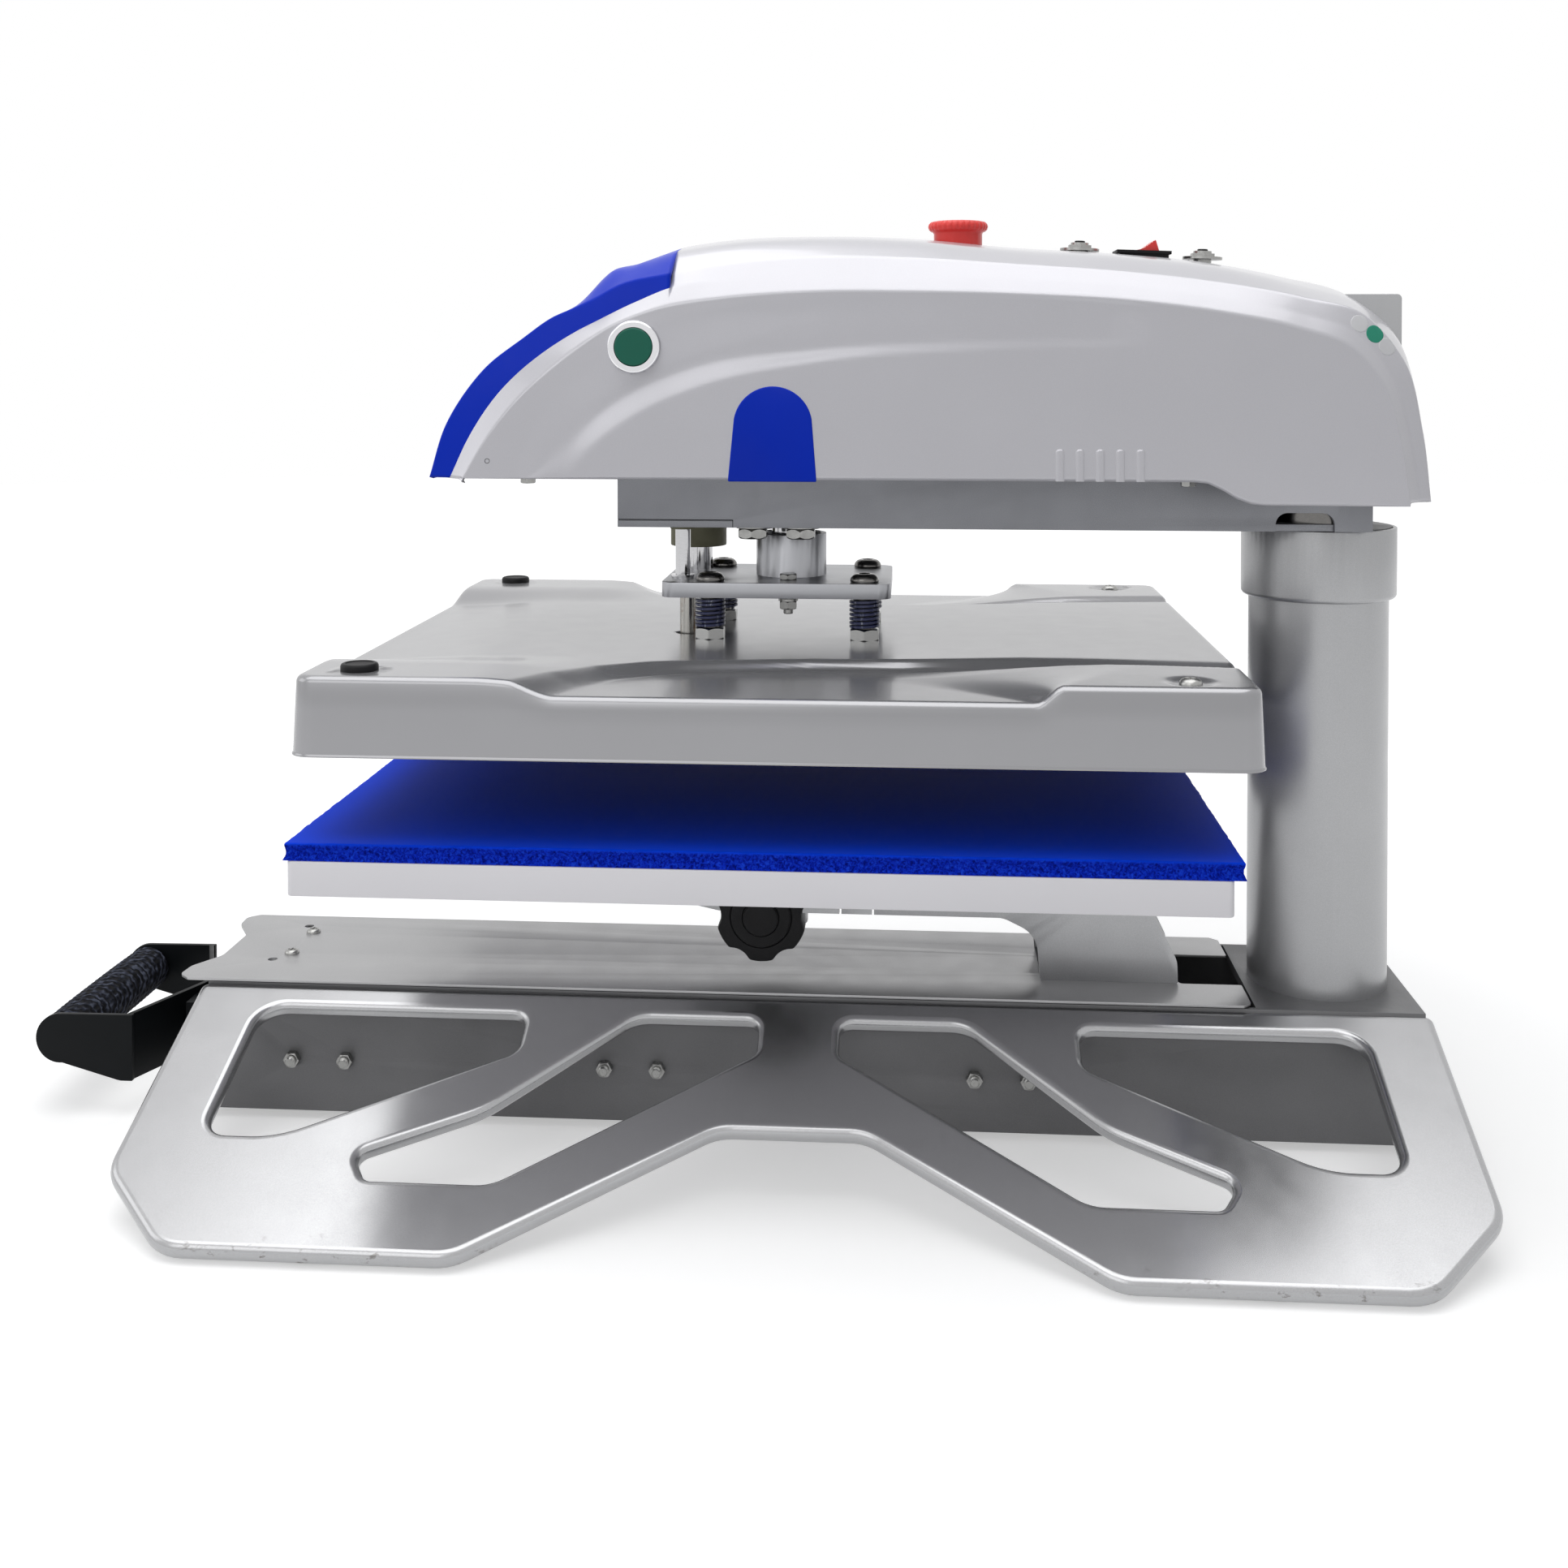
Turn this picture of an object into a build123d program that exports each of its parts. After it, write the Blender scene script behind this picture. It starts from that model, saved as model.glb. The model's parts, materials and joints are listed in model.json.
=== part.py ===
# Swing-away heat press: slide-out lower platen, swinging head, powered press stroke.
# Frame: millimetres, +Z up, front (operator side) towards -Y, +X to the operator's right,
# origin on the floor under the middle of the machine.
from build123d import *
from math import cos, hypot, radians, sin, sqrt
import os

# Driving dimensions
FLOOR_GAP = 6.0            # base channel above the floor
CHANNEL_HALF = 57.0        # outer half width of the base channel
CHANNEL_WALL = 2.5
CHANNEL_TOP = 84.0
CHANNEL_Y = (-314.0, 416.0)
WING_Y = 51.0              # the wings are symmetric about this station
WING_HALF = 369.0
WING_SLOPE = 23.0
WING_THICK = 10.5
WING_ROUND = 4.8
FOOT_R = 13.0
FOOT_DOWN_SLOPE = 165.0
FOOT_SPREAD = 245.0
COLUMN_Y = 366.0
COLUMN_R = 41.5
COLUMN_BORE_R = 37.5
COLUMN_TOP = 345.0
COLLAR_R = 46.0
COLLAR_Z = (321.0, 362.5)
SHAFT_R = 30.0
RUNNING_GAP = 0.06
SLIDE_Y = (-279.0, 206.0)  # closed length of the drawer slides
SLIDE_Z = (15.5, 60.5)
SLIDE_BOLT_YS = (-261.0, -228.0, -68.0, -36.0, 154.0, 186.0)
SLIDE_BOLT_Z = 38.0
DECK_HALF = 60.0
DECK_Y = (-333.0, 316.0)
DECK_TOP = 87.0
DECK_NOTCH = (26.0, 278.5)  # half width and front of the opening behind the arm
DECK_SCREW_XS, DECK_SCREW_Y = (-27.7, 12.7), -277.7
DECK_HOLES = ((24.5, -285.8), (-39.5, -284.7))
SHEET = 1.5
CARRIER_FRONT = -310.0
HANDLE_X = (62.0, 65.0)
HANDLE_BEND = -361.0
HANDLE_REAR = -337.0
HANDLE_TOP, HANDLE_LOW = 64.5, 24.0
GRIP_Y = -405.0
GRIP_Z = 49.0
GRIP_R = 14.6
GRIP_CORE_R = 10.0
ARM_HALF = 26.0
ARM_PLATE = 4.0
ARM_TOP = 177.0
POST_Y = 27.5
POST_R = 18.0
KNOB_Z = 135.0
KNOB_R = 27.0
KNOB_X = (54.0, 72.0)
PLATEN_HALF = 200.0        # 400 x 500 mm working area
LOWER_PLATEN_Y = (-212.0, 280.0)
LOWER_PLATEN_Z = (183.0, 202.0)
PAD_Y = (-214.0, 286.0)
PAD_TOP = 211.0
HEAT_Z = (256.5, 272.0)    # heating platen, raised position
UPPER_Y = (-210.0, 296.0)
UPPER_HALF = 205.0
UPPER_DRAFT = 1.8
UPPER_CORNER = 12.0
COVER_FIXING_X = 183.0
UPPER_BOTTOM = 258.0
UPPER_TOP = 300.0
PLATEAU_TOP = 296.0
RECESS_TOP = 291.0
RECESS_Y = (-68.0, 181.0)
FLANGE_HALF = 50.0
FLANGE_Y = (-35.0, 104.0)
FLANGE_Z = (322.0, 331.0)
PLATEN_BOLT_X = 38.0
PLATEN_BOLT_YS = (-6.0, 88.0)
RAM_Y = 41.0
RAM_R = 12.5
SLEEVE_R = 22.0
SLEEVE_TOP = 357.0
SMALL_BOLT_X = 28.5
GUIDE_X, GUIDE_Y, GUIDE_R = -27.0, -21.0, 9.0
SMALL_GUIDE_X, SMALL_GUIDE_Y, SMALL_GUIDE_R = 20.0, -25.0, 4.75
BEAM_HALF = 50.0
BEAM_WALL = 4.0
BEAM_Y = (-61.0, 386.0)
BEAM_Z = (364.5, 440.0)
ACTUATOR_BOLT_X = 32.0
ACTUATOR_BOLT_YS = (19.6, 49.0)
COVER_HALF = 102.0
COVER_FLAT_HALF = 50.0
COVER_SKIN = 3.0
COVER_BOTTOM_FRONT = 397.0
COVER_BOTTOM_REAR = 384.0
FLOOR_SHEET = 1.5
BUTTON_Y, BUTTON_Z = -42.5, 473.0
ESTOP_Y, ESTOP_Z = 145.0, 538.3
ESTOP_NECK_R = 15.3
ESTOP_RIM_Z = (545.0, 552.0)
ROCKER_Y, ROCKER_Z = 258.0, 530.6
ROCKER_PIN_R = 1.4
BREAKERS = ((220.0, 532.9), (295.0, 527.4))
TOP_SLOPE = -2.0           # tilt of the switches on the cover's top
TERMINAL_BOX_Y = (371.0, 406.0)

# Pairs of points down the cover's outline: on the flat middle, and on the side wall (Y, Z)
COVER_OUTLINE = (
    ((-167.0, 397.0), (-143.0, 397.0)),
    ((-137.0, 457.5), (-113.0, 440.0)),
    ((-89.0, 494.0), (-75.0, 475.0)),
    ((-24.0, 531.0), (-15.0, 497.5)),
    ((60.0, 540.0), (60.0, 503.8)),
    ((160.0, 533.2), (160.0, 504.0)),
    ((260.0, 525.0), (258.0, 497.0)),
    ((345.0, 512.5), (336.0, 482.5)),
    ((388.0, 493.0), (367.0, 466.0)),
    ((404.0, 453.0), (380.0, 443.0)),
    ((411.0, 384.0), (393.0, 384.0)),
)
COVER_STATIONS = (0.0, 25.0, 50.0, 72.0, 88.0, 97.0, 102.0)
COVER_CROWN = 0.12         # swell of the middle beyond the first outline, as a share


# Shape helpers
def block(x, y, z):
    """Box between two X, two Y and two Z values."""
    size = (x[1] - x[0], y[1] - y[0], z[1] - z[0])
    middle = ((x[0] + x[1]) / 2, (y[0] + y[1]) / 2, (z[0] + z[1]) / 2)
    return Pos(*middle) * Box(*size)


def post(radius, z, x=0.0, y=0.0):
    """Upright cylinder between two heights."""
    return Pos(x, y, (z[0] + z[1]) / 2) * Cylinder(radius, z[1] - z[0])


def ring(outer, inner, z, x=0.0, y=0.0):
    return post(outer, z, x, y) - post(inner, (z[0] - 1, z[1] + 1), x, y)


def bar_x(radius, x, y, z):
    """Cylinder lying along X."""
    return Pos((x[0] + x[1]) / 2, y, z) * Rot(0, 90, 0) * Cylinder(radius, x[1] - x[0])


def hexagon(across_flats, z, x=0.0, y=0.0):
    sketch = RegularPolygon(across_flats / sqrt(3), 6)
    return Pos(x, y, z[0]) * extrude(sketch, z[1] - z[0])


def side_outline(points, radii):
    """Closed outline of (Y, Z) points with rounded corners, in the YZ plane."""
    corners = [(0, y, z) for y, z in points]
    return make_face(FilletPolyline(*corners, radius=radii, close=True))


def side_prism(face, x):
    return Pos(x[0], 0, 0) * extrude(face, amount=x[1] - x[0], dir=(1, 0, 0))


def mirrored(solid):
    return mirror(solid, about=Plane.YZ)


def save(node, *solids):
    shape = solids[0] if len(solids) == 1 else Compound(list(solids))
    export_step(shape, f"parts/{node}.step")


# Base
WING_PLANE = Plane(
    origin=(CHANNEL_HALF, WING_Y, CHANNEL_TOP),
    x_dir=(0, 1, 0),
    z_dir=(sin(radians(WING_SLOPE)), 0, cos(radians(WING_SLOPE))),
)


def slope_outline(points, radii):
    """Face on the wing plane from (along, down the slope) points with rounded corners."""
    corners = [(along, -down) for along, down in points]
    return make_face(FilletPolyline(*corners, radius=radii, close=True))


def wing_sketch():
    half = [(40, 101), (168, 189), (322, 189), (WING_HALF, 141), (WING_HALF, 0)]
    other = [(-along, down) for along, down in reversed(half)]
    sketch = slope_outline(half + other, [25, 30, 30, 26, 5, 5, 26, 30, 30, 25])
    inner = slope_outline(
        [(24, 18), (97, 18), (172, 93), (236, 125), (226, 141), (158, 141), (24, 44)],
        [8, 20, 60, 7, 7, 25, 9])
    outer = slope_outline(
        [(163, 18), (325, 18), (325, 114), (284, 114), (163, 48)],
        [10, 16, 13, 60, 11])
    for hole in (inner, outer):
        sketch = sketch - hole - mirror(hole, about=Plane.YZ)
    return sketch


def wing():
    """Right wing: a sloping plate with four openings, its rims rounded top and bottom."""
    slab = extrude(WING_PLANE * wing_sketch(), amount=-WING_THICK)
    faces = slab.faces().sort_by(Axis((0, 0, 0), WING_PLANE.z_dir))
    slab = fillet(faces[0].edges() + faces[-1].edges(), WING_ROUND)
    return slab & block((CHANNEL_HALF, 300), (-400, 500), (-20, 120))


def rubber_feet():
    """Four feet under the wing tips, their tops cut to the wings' slope."""
    feet = []
    above = WING_PLANE * (Pos(0, 0, 100 - WING_THICK) * Box(1200, 1200, 200))
    x = CHANNEL_HALF + FOOT_DOWN_SLOPE * cos(radians(WING_SLOPE))
    for side in (-1, 1):
        foot = post(FOOT_R, (0, 40), x, WING_Y + side * FOOT_SPREAD)
        foot = chamfer(foot.edges().sort_by(Axis.Z)[0], 1.5) - above
        feet += [foot, mirrored(foot)]
    return feet


def base_channel():
    """Welded U channel with a closing plate round the foot of the column."""
    outer = block((-CHANNEL_HALF, CHANNEL_HALF), CHANNEL_Y, (FLOOR_GAP, CHANNEL_TOP))
    inside = CHANNEL_HALF - CHANNEL_WALL
    shell = outer - block((-inside, inside), (-400, 500), (FLOOR_GAP + CHANNEL_WALL, 200))
    shell += block((-inside, inside), (COLUMN_Y - 47, CHANNEL_Y[1]), (CHANNEL_TOP - 6, CHANNEL_TOP))
    shell -= post(COLUMN_R, (CHANNEL_TOP - 10, CHANNEL_TOP + 10), 0, COLUMN_Y)
    for y in SLIDE_BOLT_YS:
        shell -= bar_x(3, (-100, 100), y, SLIDE_BOLT_Z)
    return shell


def wall_fasteners():
    """Flat-headed bolts that hold the slides, with a nut outside each wall."""
    solids = []
    head_face = CHANNEL_HALF - CHANNEL_WALL - SHEET
    for y in SLIDE_BOLT_YS:
        bolt = bar_x(3, (head_face, CHANNEL_HALF + 7.5), y, SLIDE_BOLT_Z)
        bolt += bar_x(5, (head_face - 1, head_face), y, SLIDE_BOLT_Z)
        nut = Rot(0, 90, 0) * hexagon(10, (CHANNEL_HALF, CHANNEL_HALF + 5))
        nut = Pos(0, y, SLIDE_BOLT_Z) * nut - bar_x(3, (0, 200), y, SLIDE_BOLT_Z)
        solids += [bolt, nut, mirrored(bolt), mirrored(nut)]
    return solids


def column_tube():
    floor = FLOOR_GAP + CHANNEL_WALL
    return ring(COLUMN_R, COLUMN_BORE_R, (floor, COLUMN_TOP), 0, COLUMN_Y)


def column_collar():
    """Bearing head that caps the column; its lip stands round the thrust washer."""
    collar = ring(COLLAR_R, COLUMN_BORE_R, COLLAR_Z, 0, COLUMN_Y)
    collar += ring(COLLAR_R, COLLAR_R - 2.5, (COLLAR_Z[1] - 1, BEAM_Z[0] - 0.4), 0, COLUMN_Y)
    collar -= post(COLUMN_R, (0, COLUMN_TOP), 0, COLUMN_Y)
    lowest = collar.edges().filter_by(GeomType.CIRCLE).group_by(Axis.Z)[0]
    return fillet(lowest.sort_by(SortBy.RADIUS)[-1], 3)


def column_bearings():
    """Two bushes inside the column and a thrust washer on top of the collar."""
    bore = SHAFT_R + RUNNING_GAP
    spans = ((200, 226), (COLLAR_Z[1] - 34, COLLAR_Z[1]))
    bushes = [ring(COLUMN_BORE_R, bore, span, 0, COLUMN_Y) for span in spans]
    washer = ring(COLLAR_R - 3, bore, (COLLAR_Z[1], BEAM_Z[0]), 0, COLUMN_Y)
    return [*bushes, washer]


# Drawer slides: each member is a C section nested in the next
def c_section(x, z, opening):
    """C section along Y between two X and two Z values; opening is -1 or +1 in X."""
    solid = block(x, SLIDE_Y, z)
    inner_x = (x[0] - 1, x[1] - SHEET) if opening < 0 else (x[0] + SHEET, x[1] + 1)
    return solid - block(inner_x, (-900, 900), (z[0] + SHEET, z[1] - SHEET))


def slide_members():
    """Outer, middle and inner members of the right-hand slide."""
    wall = CHANNEL_HALF - CHANNEL_WALL
    low, high = SLIDE_Z
    outer = c_section((wall - 11.5, wall), SLIDE_Z, -1)
    middle = c_section((wall - 11, wall - 3), (low + 3, high - 3), -1)
    inner = c_section((wall - 13.5, wall - 5), (low + 6, high - 6), 1)
    for y in SLIDE_BOLT_YS:
        outer -= bar_x(3, (0, 100), y, SLIDE_BOLT_Z)
    return outer, middle, inner


def drawer_carrier():
    """Inverted U that ties the two inner slide members to the deck."""
    half = CHANNEL_HALF - CHANNEL_WALL - 13.5
    top = DECK_TOP - SHEET
    shell = block((-half, half), (CARRIER_FRONT, SLIDE_Y[1]), (SLIDE_Z[0], top))
    shell -= block((SHEET - half, half - SHEET), (-900, 900), (0, top - 2))
    for x in DECK_SCREW_XS:
        shell -= post(2.5, (70, 100), x, DECK_SCREW_Y)
    for x, y in arm_screw_places():
        shell -= post(2.5, (70, 100), x, y)
    return shell


def arm_screw_places():
    return [(x, y) for x in (-14, 14) for y in (202, 262)]


def drawer_deck():
    """Flat top sheet with a shaped front edge, open behind the arm's foot."""
    notch_x, notch_y = DECK_NOTCH
    half_outline = [
        (20, DECK_Y[0] + 13), (40, DECK_Y[0] + 1), (54, DECK_Y[0]), (DECK_HALF, DECK_Y[0] + 7),
        (DECK_HALF, DECK_Y[1] - 5), (DECK_HALF - 5, DECK_Y[1]), (notch_x, DECK_Y[1]),
        (notch_x, notch_y),
    ]
    other = [(-x, y) for x, y in reversed(half_outline)]
    radii = [12, 12, 6, 5, 2, 2, 1, 3]
    outline = FilletPolyline(
        *half_outline, *other, radius=radii + radii[::-1], close=True)
    deck = Pos(0, 0, DECK_TOP - SHEET) * extrude(make_face(outline), SHEET)
    for x in DECK_SCREW_XS:
        deck -= post(2.5, (70, 100), x, DECK_SCREW_Y)
    for x, y in DECK_HOLES:
        deck -= post(3, (70, 100), x, y)
    for x, y in arm_screw_places():
        deck -= post(2.5, (70, 100), x, y)
    return deck


def drawer_screws():
    """Pan-head screws: two through the deck, four through the foot of the arm."""
    solids = []
    places = [(x, DECK_SCREW_Y, DECK_TOP) for x in DECK_SCREW_XS]
    places += [(x, y, DECK_TOP + ARM_PLATE) for x, y in arm_screw_places()]
    for x, y, seat in places:
        screw = post(4.5, (seat, seat + 2.6), x, y)
        screw = fillet(screw.edges().sort_by(Axis.Z)[-1], 1.6)
        solids.append(screw + post(2.5, (DECK_TOP - 9, seat), x, y))
    return solids


def handle_frame():
    """Black strap: two cheeks bent inwards to a shallow V behind them, and the grip's core."""
    cheek = side_outline(
        [(GRIP_Y, HANDLE_TOP - 0.5), (HANDLE_BEND + 2, HANDLE_TOP), (HANDLE_BEND + 2, HANDLE_LOW),
         (HANDLE_BEND - 6, HANDLE_LOW), (GRIP_Y, 34.5)],
        [0.5, 0.5, 0.5, 12, 0.5])
    frame = None
    for x in (HANDLE_X, (-HANDLE_X[1], -HANDLE_X[0])):
        plate = side_prism(cheek, x) + bar_x(GRIP_R + 0.4, x, GRIP_Y, GRIP_Z)
        frame = plate if frame is None else frame + plate
    outer, inner = HANDLE_X[1], HANDLE_X[0]
    strap = FilletPolyline(
        (-outer, HANDLE_BEND), (0, HANDLE_REAR + 3.2), (outer, HANDLE_BEND), (inner, HANDLE_BEND - 2),
        (0, HANDLE_REAR), (-inner, HANDLE_BEND - 2), radius=[1, 20, 1, 1, 20, 1], close=True)
    frame += Pos(0, 0, HANDLE_LOW) * extrude(make_face(strap), HANDLE_TOP - HANDLE_LOW)
    frame += bar_x(GRIP_CORE_R, (-HANDLE_X[0], HANDLE_X[0]), GRIP_Y, GRIP_Z)
    return frame + block((-30, 30), (HANDLE_REAR - 3, CARRIER_FRONT), (42, 60))


def handle_grip():
    span = (-HANDLE_X[0] + 0.5, HANDLE_X[0] - 0.5)
    sleeve = bar_x(GRIP_R, span, GRIP_Y, GRIP_Z)
    return sleeve - bar_x(GRIP_CORE_R, (-90, 90), GRIP_Y, GRIP_Z)


def platen_arm():
    """Gooseneck of folded plate: foot on the deck, arm forward under the platen."""
    outline = side_outline(
        [(-27.4, ARM_TOP), (-21.3, 129), (-1, 124.7), (172.5, 124.4), (192.7, 114.7),
         (195.2, DECK_TOP), (278, DECK_TOP), (277.5, 100.6), (251.2, 155), (214, ARM_TOP)],
        [2, 10, 30, 16, 18, 1, 1, 14, 30, 12])
    solid = side_prism(outline, (-ARM_HALF, ARM_HALF))
    inside = ARM_HALF - ARM_PLATE
    hollow = side_outline(
        [(-30, ARM_TOP - ARM_PLATE), (-30, 100), (186, 100), (186, 80), (300, 80), (300, 127),
         (245, 154), (212, ARM_TOP - ARM_PLATE)],
        [1, 1, 1, 1, 1, 1, 20, 10])
    solid -= side_prism(hollow, (-inside, inside)) - block(
        (-inside, inside), (186, 277), (80, DECK_TOP + ARM_PLATE))
    solid += ring(POST_R + 6, POST_R, (112, ARM_TOP - ARM_PLATE), 0, POST_Y)
    solid -= post(POST_R, (100, 200), 0, POST_Y)
    solid -= bar_x(5.2, (0, 100), POST_Y, KNOB_Z)
    for y in (73, 93):
        solid -= block((-50, 50), (y - 0.6, y + 0.6), (120, 134))
    for x, y in arm_screw_places():
        solid -= post(2.5, (70, 100), x, y)
    return solid


def platen_post():
    """Stub under the platen, held in the arm's socket by the clamp knob."""
    flange = post(60, (ARM_TOP, LOWER_PLATEN_Z[0]), 0, POST_Y)
    return flange + post(POST_R, (116, ARM_TOP), 0, POST_Y)


def lower_platen():
    plate = block((-PLATEN_HALF, PLATEN_HALF), LOWER_PLATEN_Y, LOWER_PLATEN_Z)
    plate = fillet(plate.edges().filter_by(Axis.Z), 3)
    return fillet(plate.edges().group_by(Axis.Z)[-1], 1)


def silicone_pad():
    return block((-PLATEN_HALF, PLATEN_HALF), PAD_Y, (LOWER_PLATEN_Z[1], PAD_TOP))


def clamp_stud():
    """Threaded stud of the clamp, from the post out into the knob."""
    return bar_x(5, (POST_R, KNOB_X[0] + 8), POST_Y, KNOB_Z)


def clamp_knob():
    """Six-lobed hand knob with a raised ring on its face."""
    lobes = 6
    flute_r = 11.6
    knob = Cylinder(KNOB_R, KNOB_X[1] - KNOB_X[0] - 4)
    knob = fillet(knob.edges(), 2)
    for k in range(lobes):
        angle = radians(90 + k * 360 / lobes)
        reach = KNOB_R + flute_r - 3.0
        knob -= Pos(reach * cos(angle), reach * sin(angle), 0) * Cylinder(flute_r, 60)
    half = (KNOB_X[1] - KNOB_X[0] - 4) / 2
    knob += post(17.7, (half, half + 2))
    knob += post(10, (half + 2, half + 4))
    knob += post(11, (-half - 14, -half))
    knob = Rot(0, 90, 0) * knob
    knob = Pos((KNOB_X[0] + KNOB_X[1] - 4) / 2, POST_Y, KNOB_Z) * knob
    return knob - bar_x(5 + RUNNING_GAP, (0, KNOB_X[0] + 8), POST_Y, KNOB_Z)


# Head
def arm_beam():
    """Channel-section beam that carries the press and swings on the column."""
    beam = block((-BEAM_HALF, BEAM_HALF), BEAM_Y, BEAM_Z)
    inside = BEAM_HALF - BEAM_WALL
    beam -= block((-inside, inside), (-900, 900), (BEAM_Z[0] + BEAM_WALL, 900))
    notch = side_outline(
        [(330, 340), (330, 375.5), (364, 375.5), (364, 340)], [0.5, 7, 7, 0.5])
    for x in ((inside, 90), (-90, -inside)):
        beam -= side_prism(notch, x)
    holes = [(SHAFT_R, 0, COLUMN_Y), (RAM_R + 1.5, 0, RAM_Y), (18, GUIDE_X, GUIDE_Y),
             (8, SMALL_GUIDE_X, SMALL_GUIDE_Y)]
    holes += [(5, x, y) for x in (-ACTUATOR_BOLT_X, ACTUATOR_BOLT_X) for y in ACTUATOR_BOLT_YS]
    for radius, x, y in holes:
        beam -= post(radius, (300, 400), x, y)
    seam_z = BEAM_Z[0] + BEAM_WALL
    for x in ((BEAM_HALF - 0.5, 90), (-90, 0.5 - BEAM_HALF)):
        beam -= block(x, (BEAM_Y[0] - 1, 9), (seam_z, seam_z + 0.8))
    return beam


def pivot_shaft():
    """Shaft welded into the beam; it turns in the column's bushes."""
    shaft = post(SHAFT_R, (190, 425), 0, COLUMN_Y)
    seat = (BEAM_Z[0] + BEAM_WALL, BEAM_Z[0] + BEAM_WALL + 8)
    inside = block((-60, 60), (COLUMN_Y - 60, BEAM_Y[1] - 2), seat)
    return shaft + (post(44, seat, 0, COLUMN_Y) & inside)


def inset_points(points, depth):
    """Open (Y, Z) polyline moved towards its inside by a depth."""
    moved = []
    last = len(points) - 1
    for k, (y, z) in enumerate(points):
        before, after = points[max(k - 1, 0)], points[min(k + 1, last)]
        dy, dz = after[0] - before[0], after[1] - before[1]
        size = hypot(dy, dz)
        moved.append((y + depth * dz / size, z - depth * dy / size))
    return moved


def cover_section(x, weight, depth):
    """Closed section of the head's envelope at one X, drawn between its two outlines."""
    points = []
    for middle, side in COVER_OUTLINE:
        y = side[0] + weight * (middle[0] - side[0])
        z = side[1] + weight * (middle[1] - side[1])
        points.append((y, z))
    points = inset_points(points, depth)
    drop = 12 if depth else 0
    low_front = COVER_BOTTOM_FRONT - drop
    low_rear = COVER_BOTTOM_REAR - drop
    points[0] = (points[0][0], low_front)
    points[-1] = (points[-1][0], low_rear)
    curve = Spline(*[(x, y, z) for y, z in points])
    bottom = Polyline(
        (x, points[-1][0], low_rear), (x, 309, low_rear), (x, 277, low_front),
        (x, points[0][0], low_front))
    return make_face(Wire(curve.edges() + bottom.edges()))


def cover_weight(station):
    """Share of the way from the side wall's outline to the middle's, at one X."""
    if station <= COVER_FLAT_HALF:
        return 1 + COVER_CROWN * (1 - (station / COVER_FLAT_HALF) ** 2)
    if station >= COVER_HALF:
        return 0.0
    return sqrt(1 - ((station - COVER_FLAT_HALF) / (COVER_HALF - COVER_FLAT_HALF)) ** 2)


def cover_envelope(depth=0.0):
    """The head's outer form, or the same form a depth further in."""
    right = [(station * (1 - depth / COVER_HALF), cover_weight(station)) for station in COVER_STATIONS]
    left = [(-x, weight) for x, weight in reversed(right[1:])]
    return loft([cover_section(x, weight, depth) for x, weight in left + right], ruled=True)


def front_region():
    """Prism that holds the front fascia, seen from the side."""
    edge = Spline((0, -152, 396), (0, -126, 443), (0, -83, 479), (0, -23, 507))
    rest = Polyline((0, -23, 507), (0, -23, 580), (0, -220, 580), (0, -220, 350),
                    (0, -152, 350), (0, -152, 396))
    return side_prism(make_face(Wire(edge.edges() + rest.edges())), (-150, 150))


def window_region(low, high, half_width):
    """Prism square to the sloping front, between two points of its outline."""
    out, back = 30, 14
    corners = [(low[0] - out, low[1] + out), (high[0] - out, high[1] + out),
               (high[0] + back, high[1] - back), (low[0] + back, low[1] - back)]
    return side_prism(side_outline(corners, [1, 1, 1, 1]), (-half_width, half_width))


def insert_region(x):
    """Prism of a side insert: straight flanks under a rounded top."""
    flanks = Polyline((0, 15, 432), (0, 11.5, 396), (0, 62.4, 396), (0, 59.6, 432))
    crown = ThreePointArc((0, 59.6, 432), (0, 37.3, 450.5), (0, 15, 432))
    return side_prism(make_face(Wire(flanks.edges() + crown.edges())), x)


def top_place(y, z, slope):
    return Pos(0, y, z) * Rot(slope, 0, 0)


def cover_screw_places():
    return [(x, y) for x in (-80, 80) for y in (-109, 274.5)]


def head_shells():
    """Cover, fascia, panel, display window and the coloured side inserts."""
    outer, inner = cover_envelope(), cover_envelope(COVER_SKIN)
    skin = outer - inner
    front = front_region()
    window = window_region((-143, 449), (-86, 496), 70)
    glass = window_region((-129, 461), (-102, 483), 34)
    fascia = (skin & front) - window
    panel = (cover_envelope(1.2) - cover_envelope(4.4)) & window
    display = (cover_envelope(0.7) - cover_envelope(3.4)) & glass
    panel -= glass
    cover = skin - front
    inserts = []
    for x in ((99.4, 102.8), (-102.8, -99.4)):
        inserts.append(insert_region(x))
        cover -= insert_region((x[0] - 3, x[1] + 3))
    for x in ((90, 120), (-120, -90)):
        cover -= bar_x(13, x, BUTTON_Y, BUTTON_Z)
    cover -= post(15.5, (ESTOP_Z - 30, ESTOP_Z + 30), 0, ESTOP_Y)
    cover -= top_place(ROCKER_Y, ROCKER_Z, TOP_SLOPE) * Box(24, 30, 40)
    for y, z in BREAKERS:
        cover -= top_place(y, z, TOP_SLOPE) * Cylinder(5.5, 40)
    box_opening = (TERMINAL_BOX_Y[0], TERMINAL_BOX_Y[1] + 6)
    cover -= block((-35, 35), box_opening, (446, 505))
    for x, y in cover_screw_places():
        cover += screw_boss(x, y)
    return cover, fascia, panel, display, inserts


def screw_boss(x, y):
    """Boss for a cover screw, joined to the side wall by a rib."""
    z = (COVER_BOTTOM_FRONT + FLOOR_SHEET, COVER_BOTTOM_FRONT + 26)
    wall = (COVER_HALF - 1.5) * (1 if x > 0 else -1)
    boss = post(6, z, x, y) + block(sorted((x, wall)), (y - 1.5, y + 1.5), z)
    return boss - post(3, (z[0] - 1, z[0] + 20), x, y)


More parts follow.
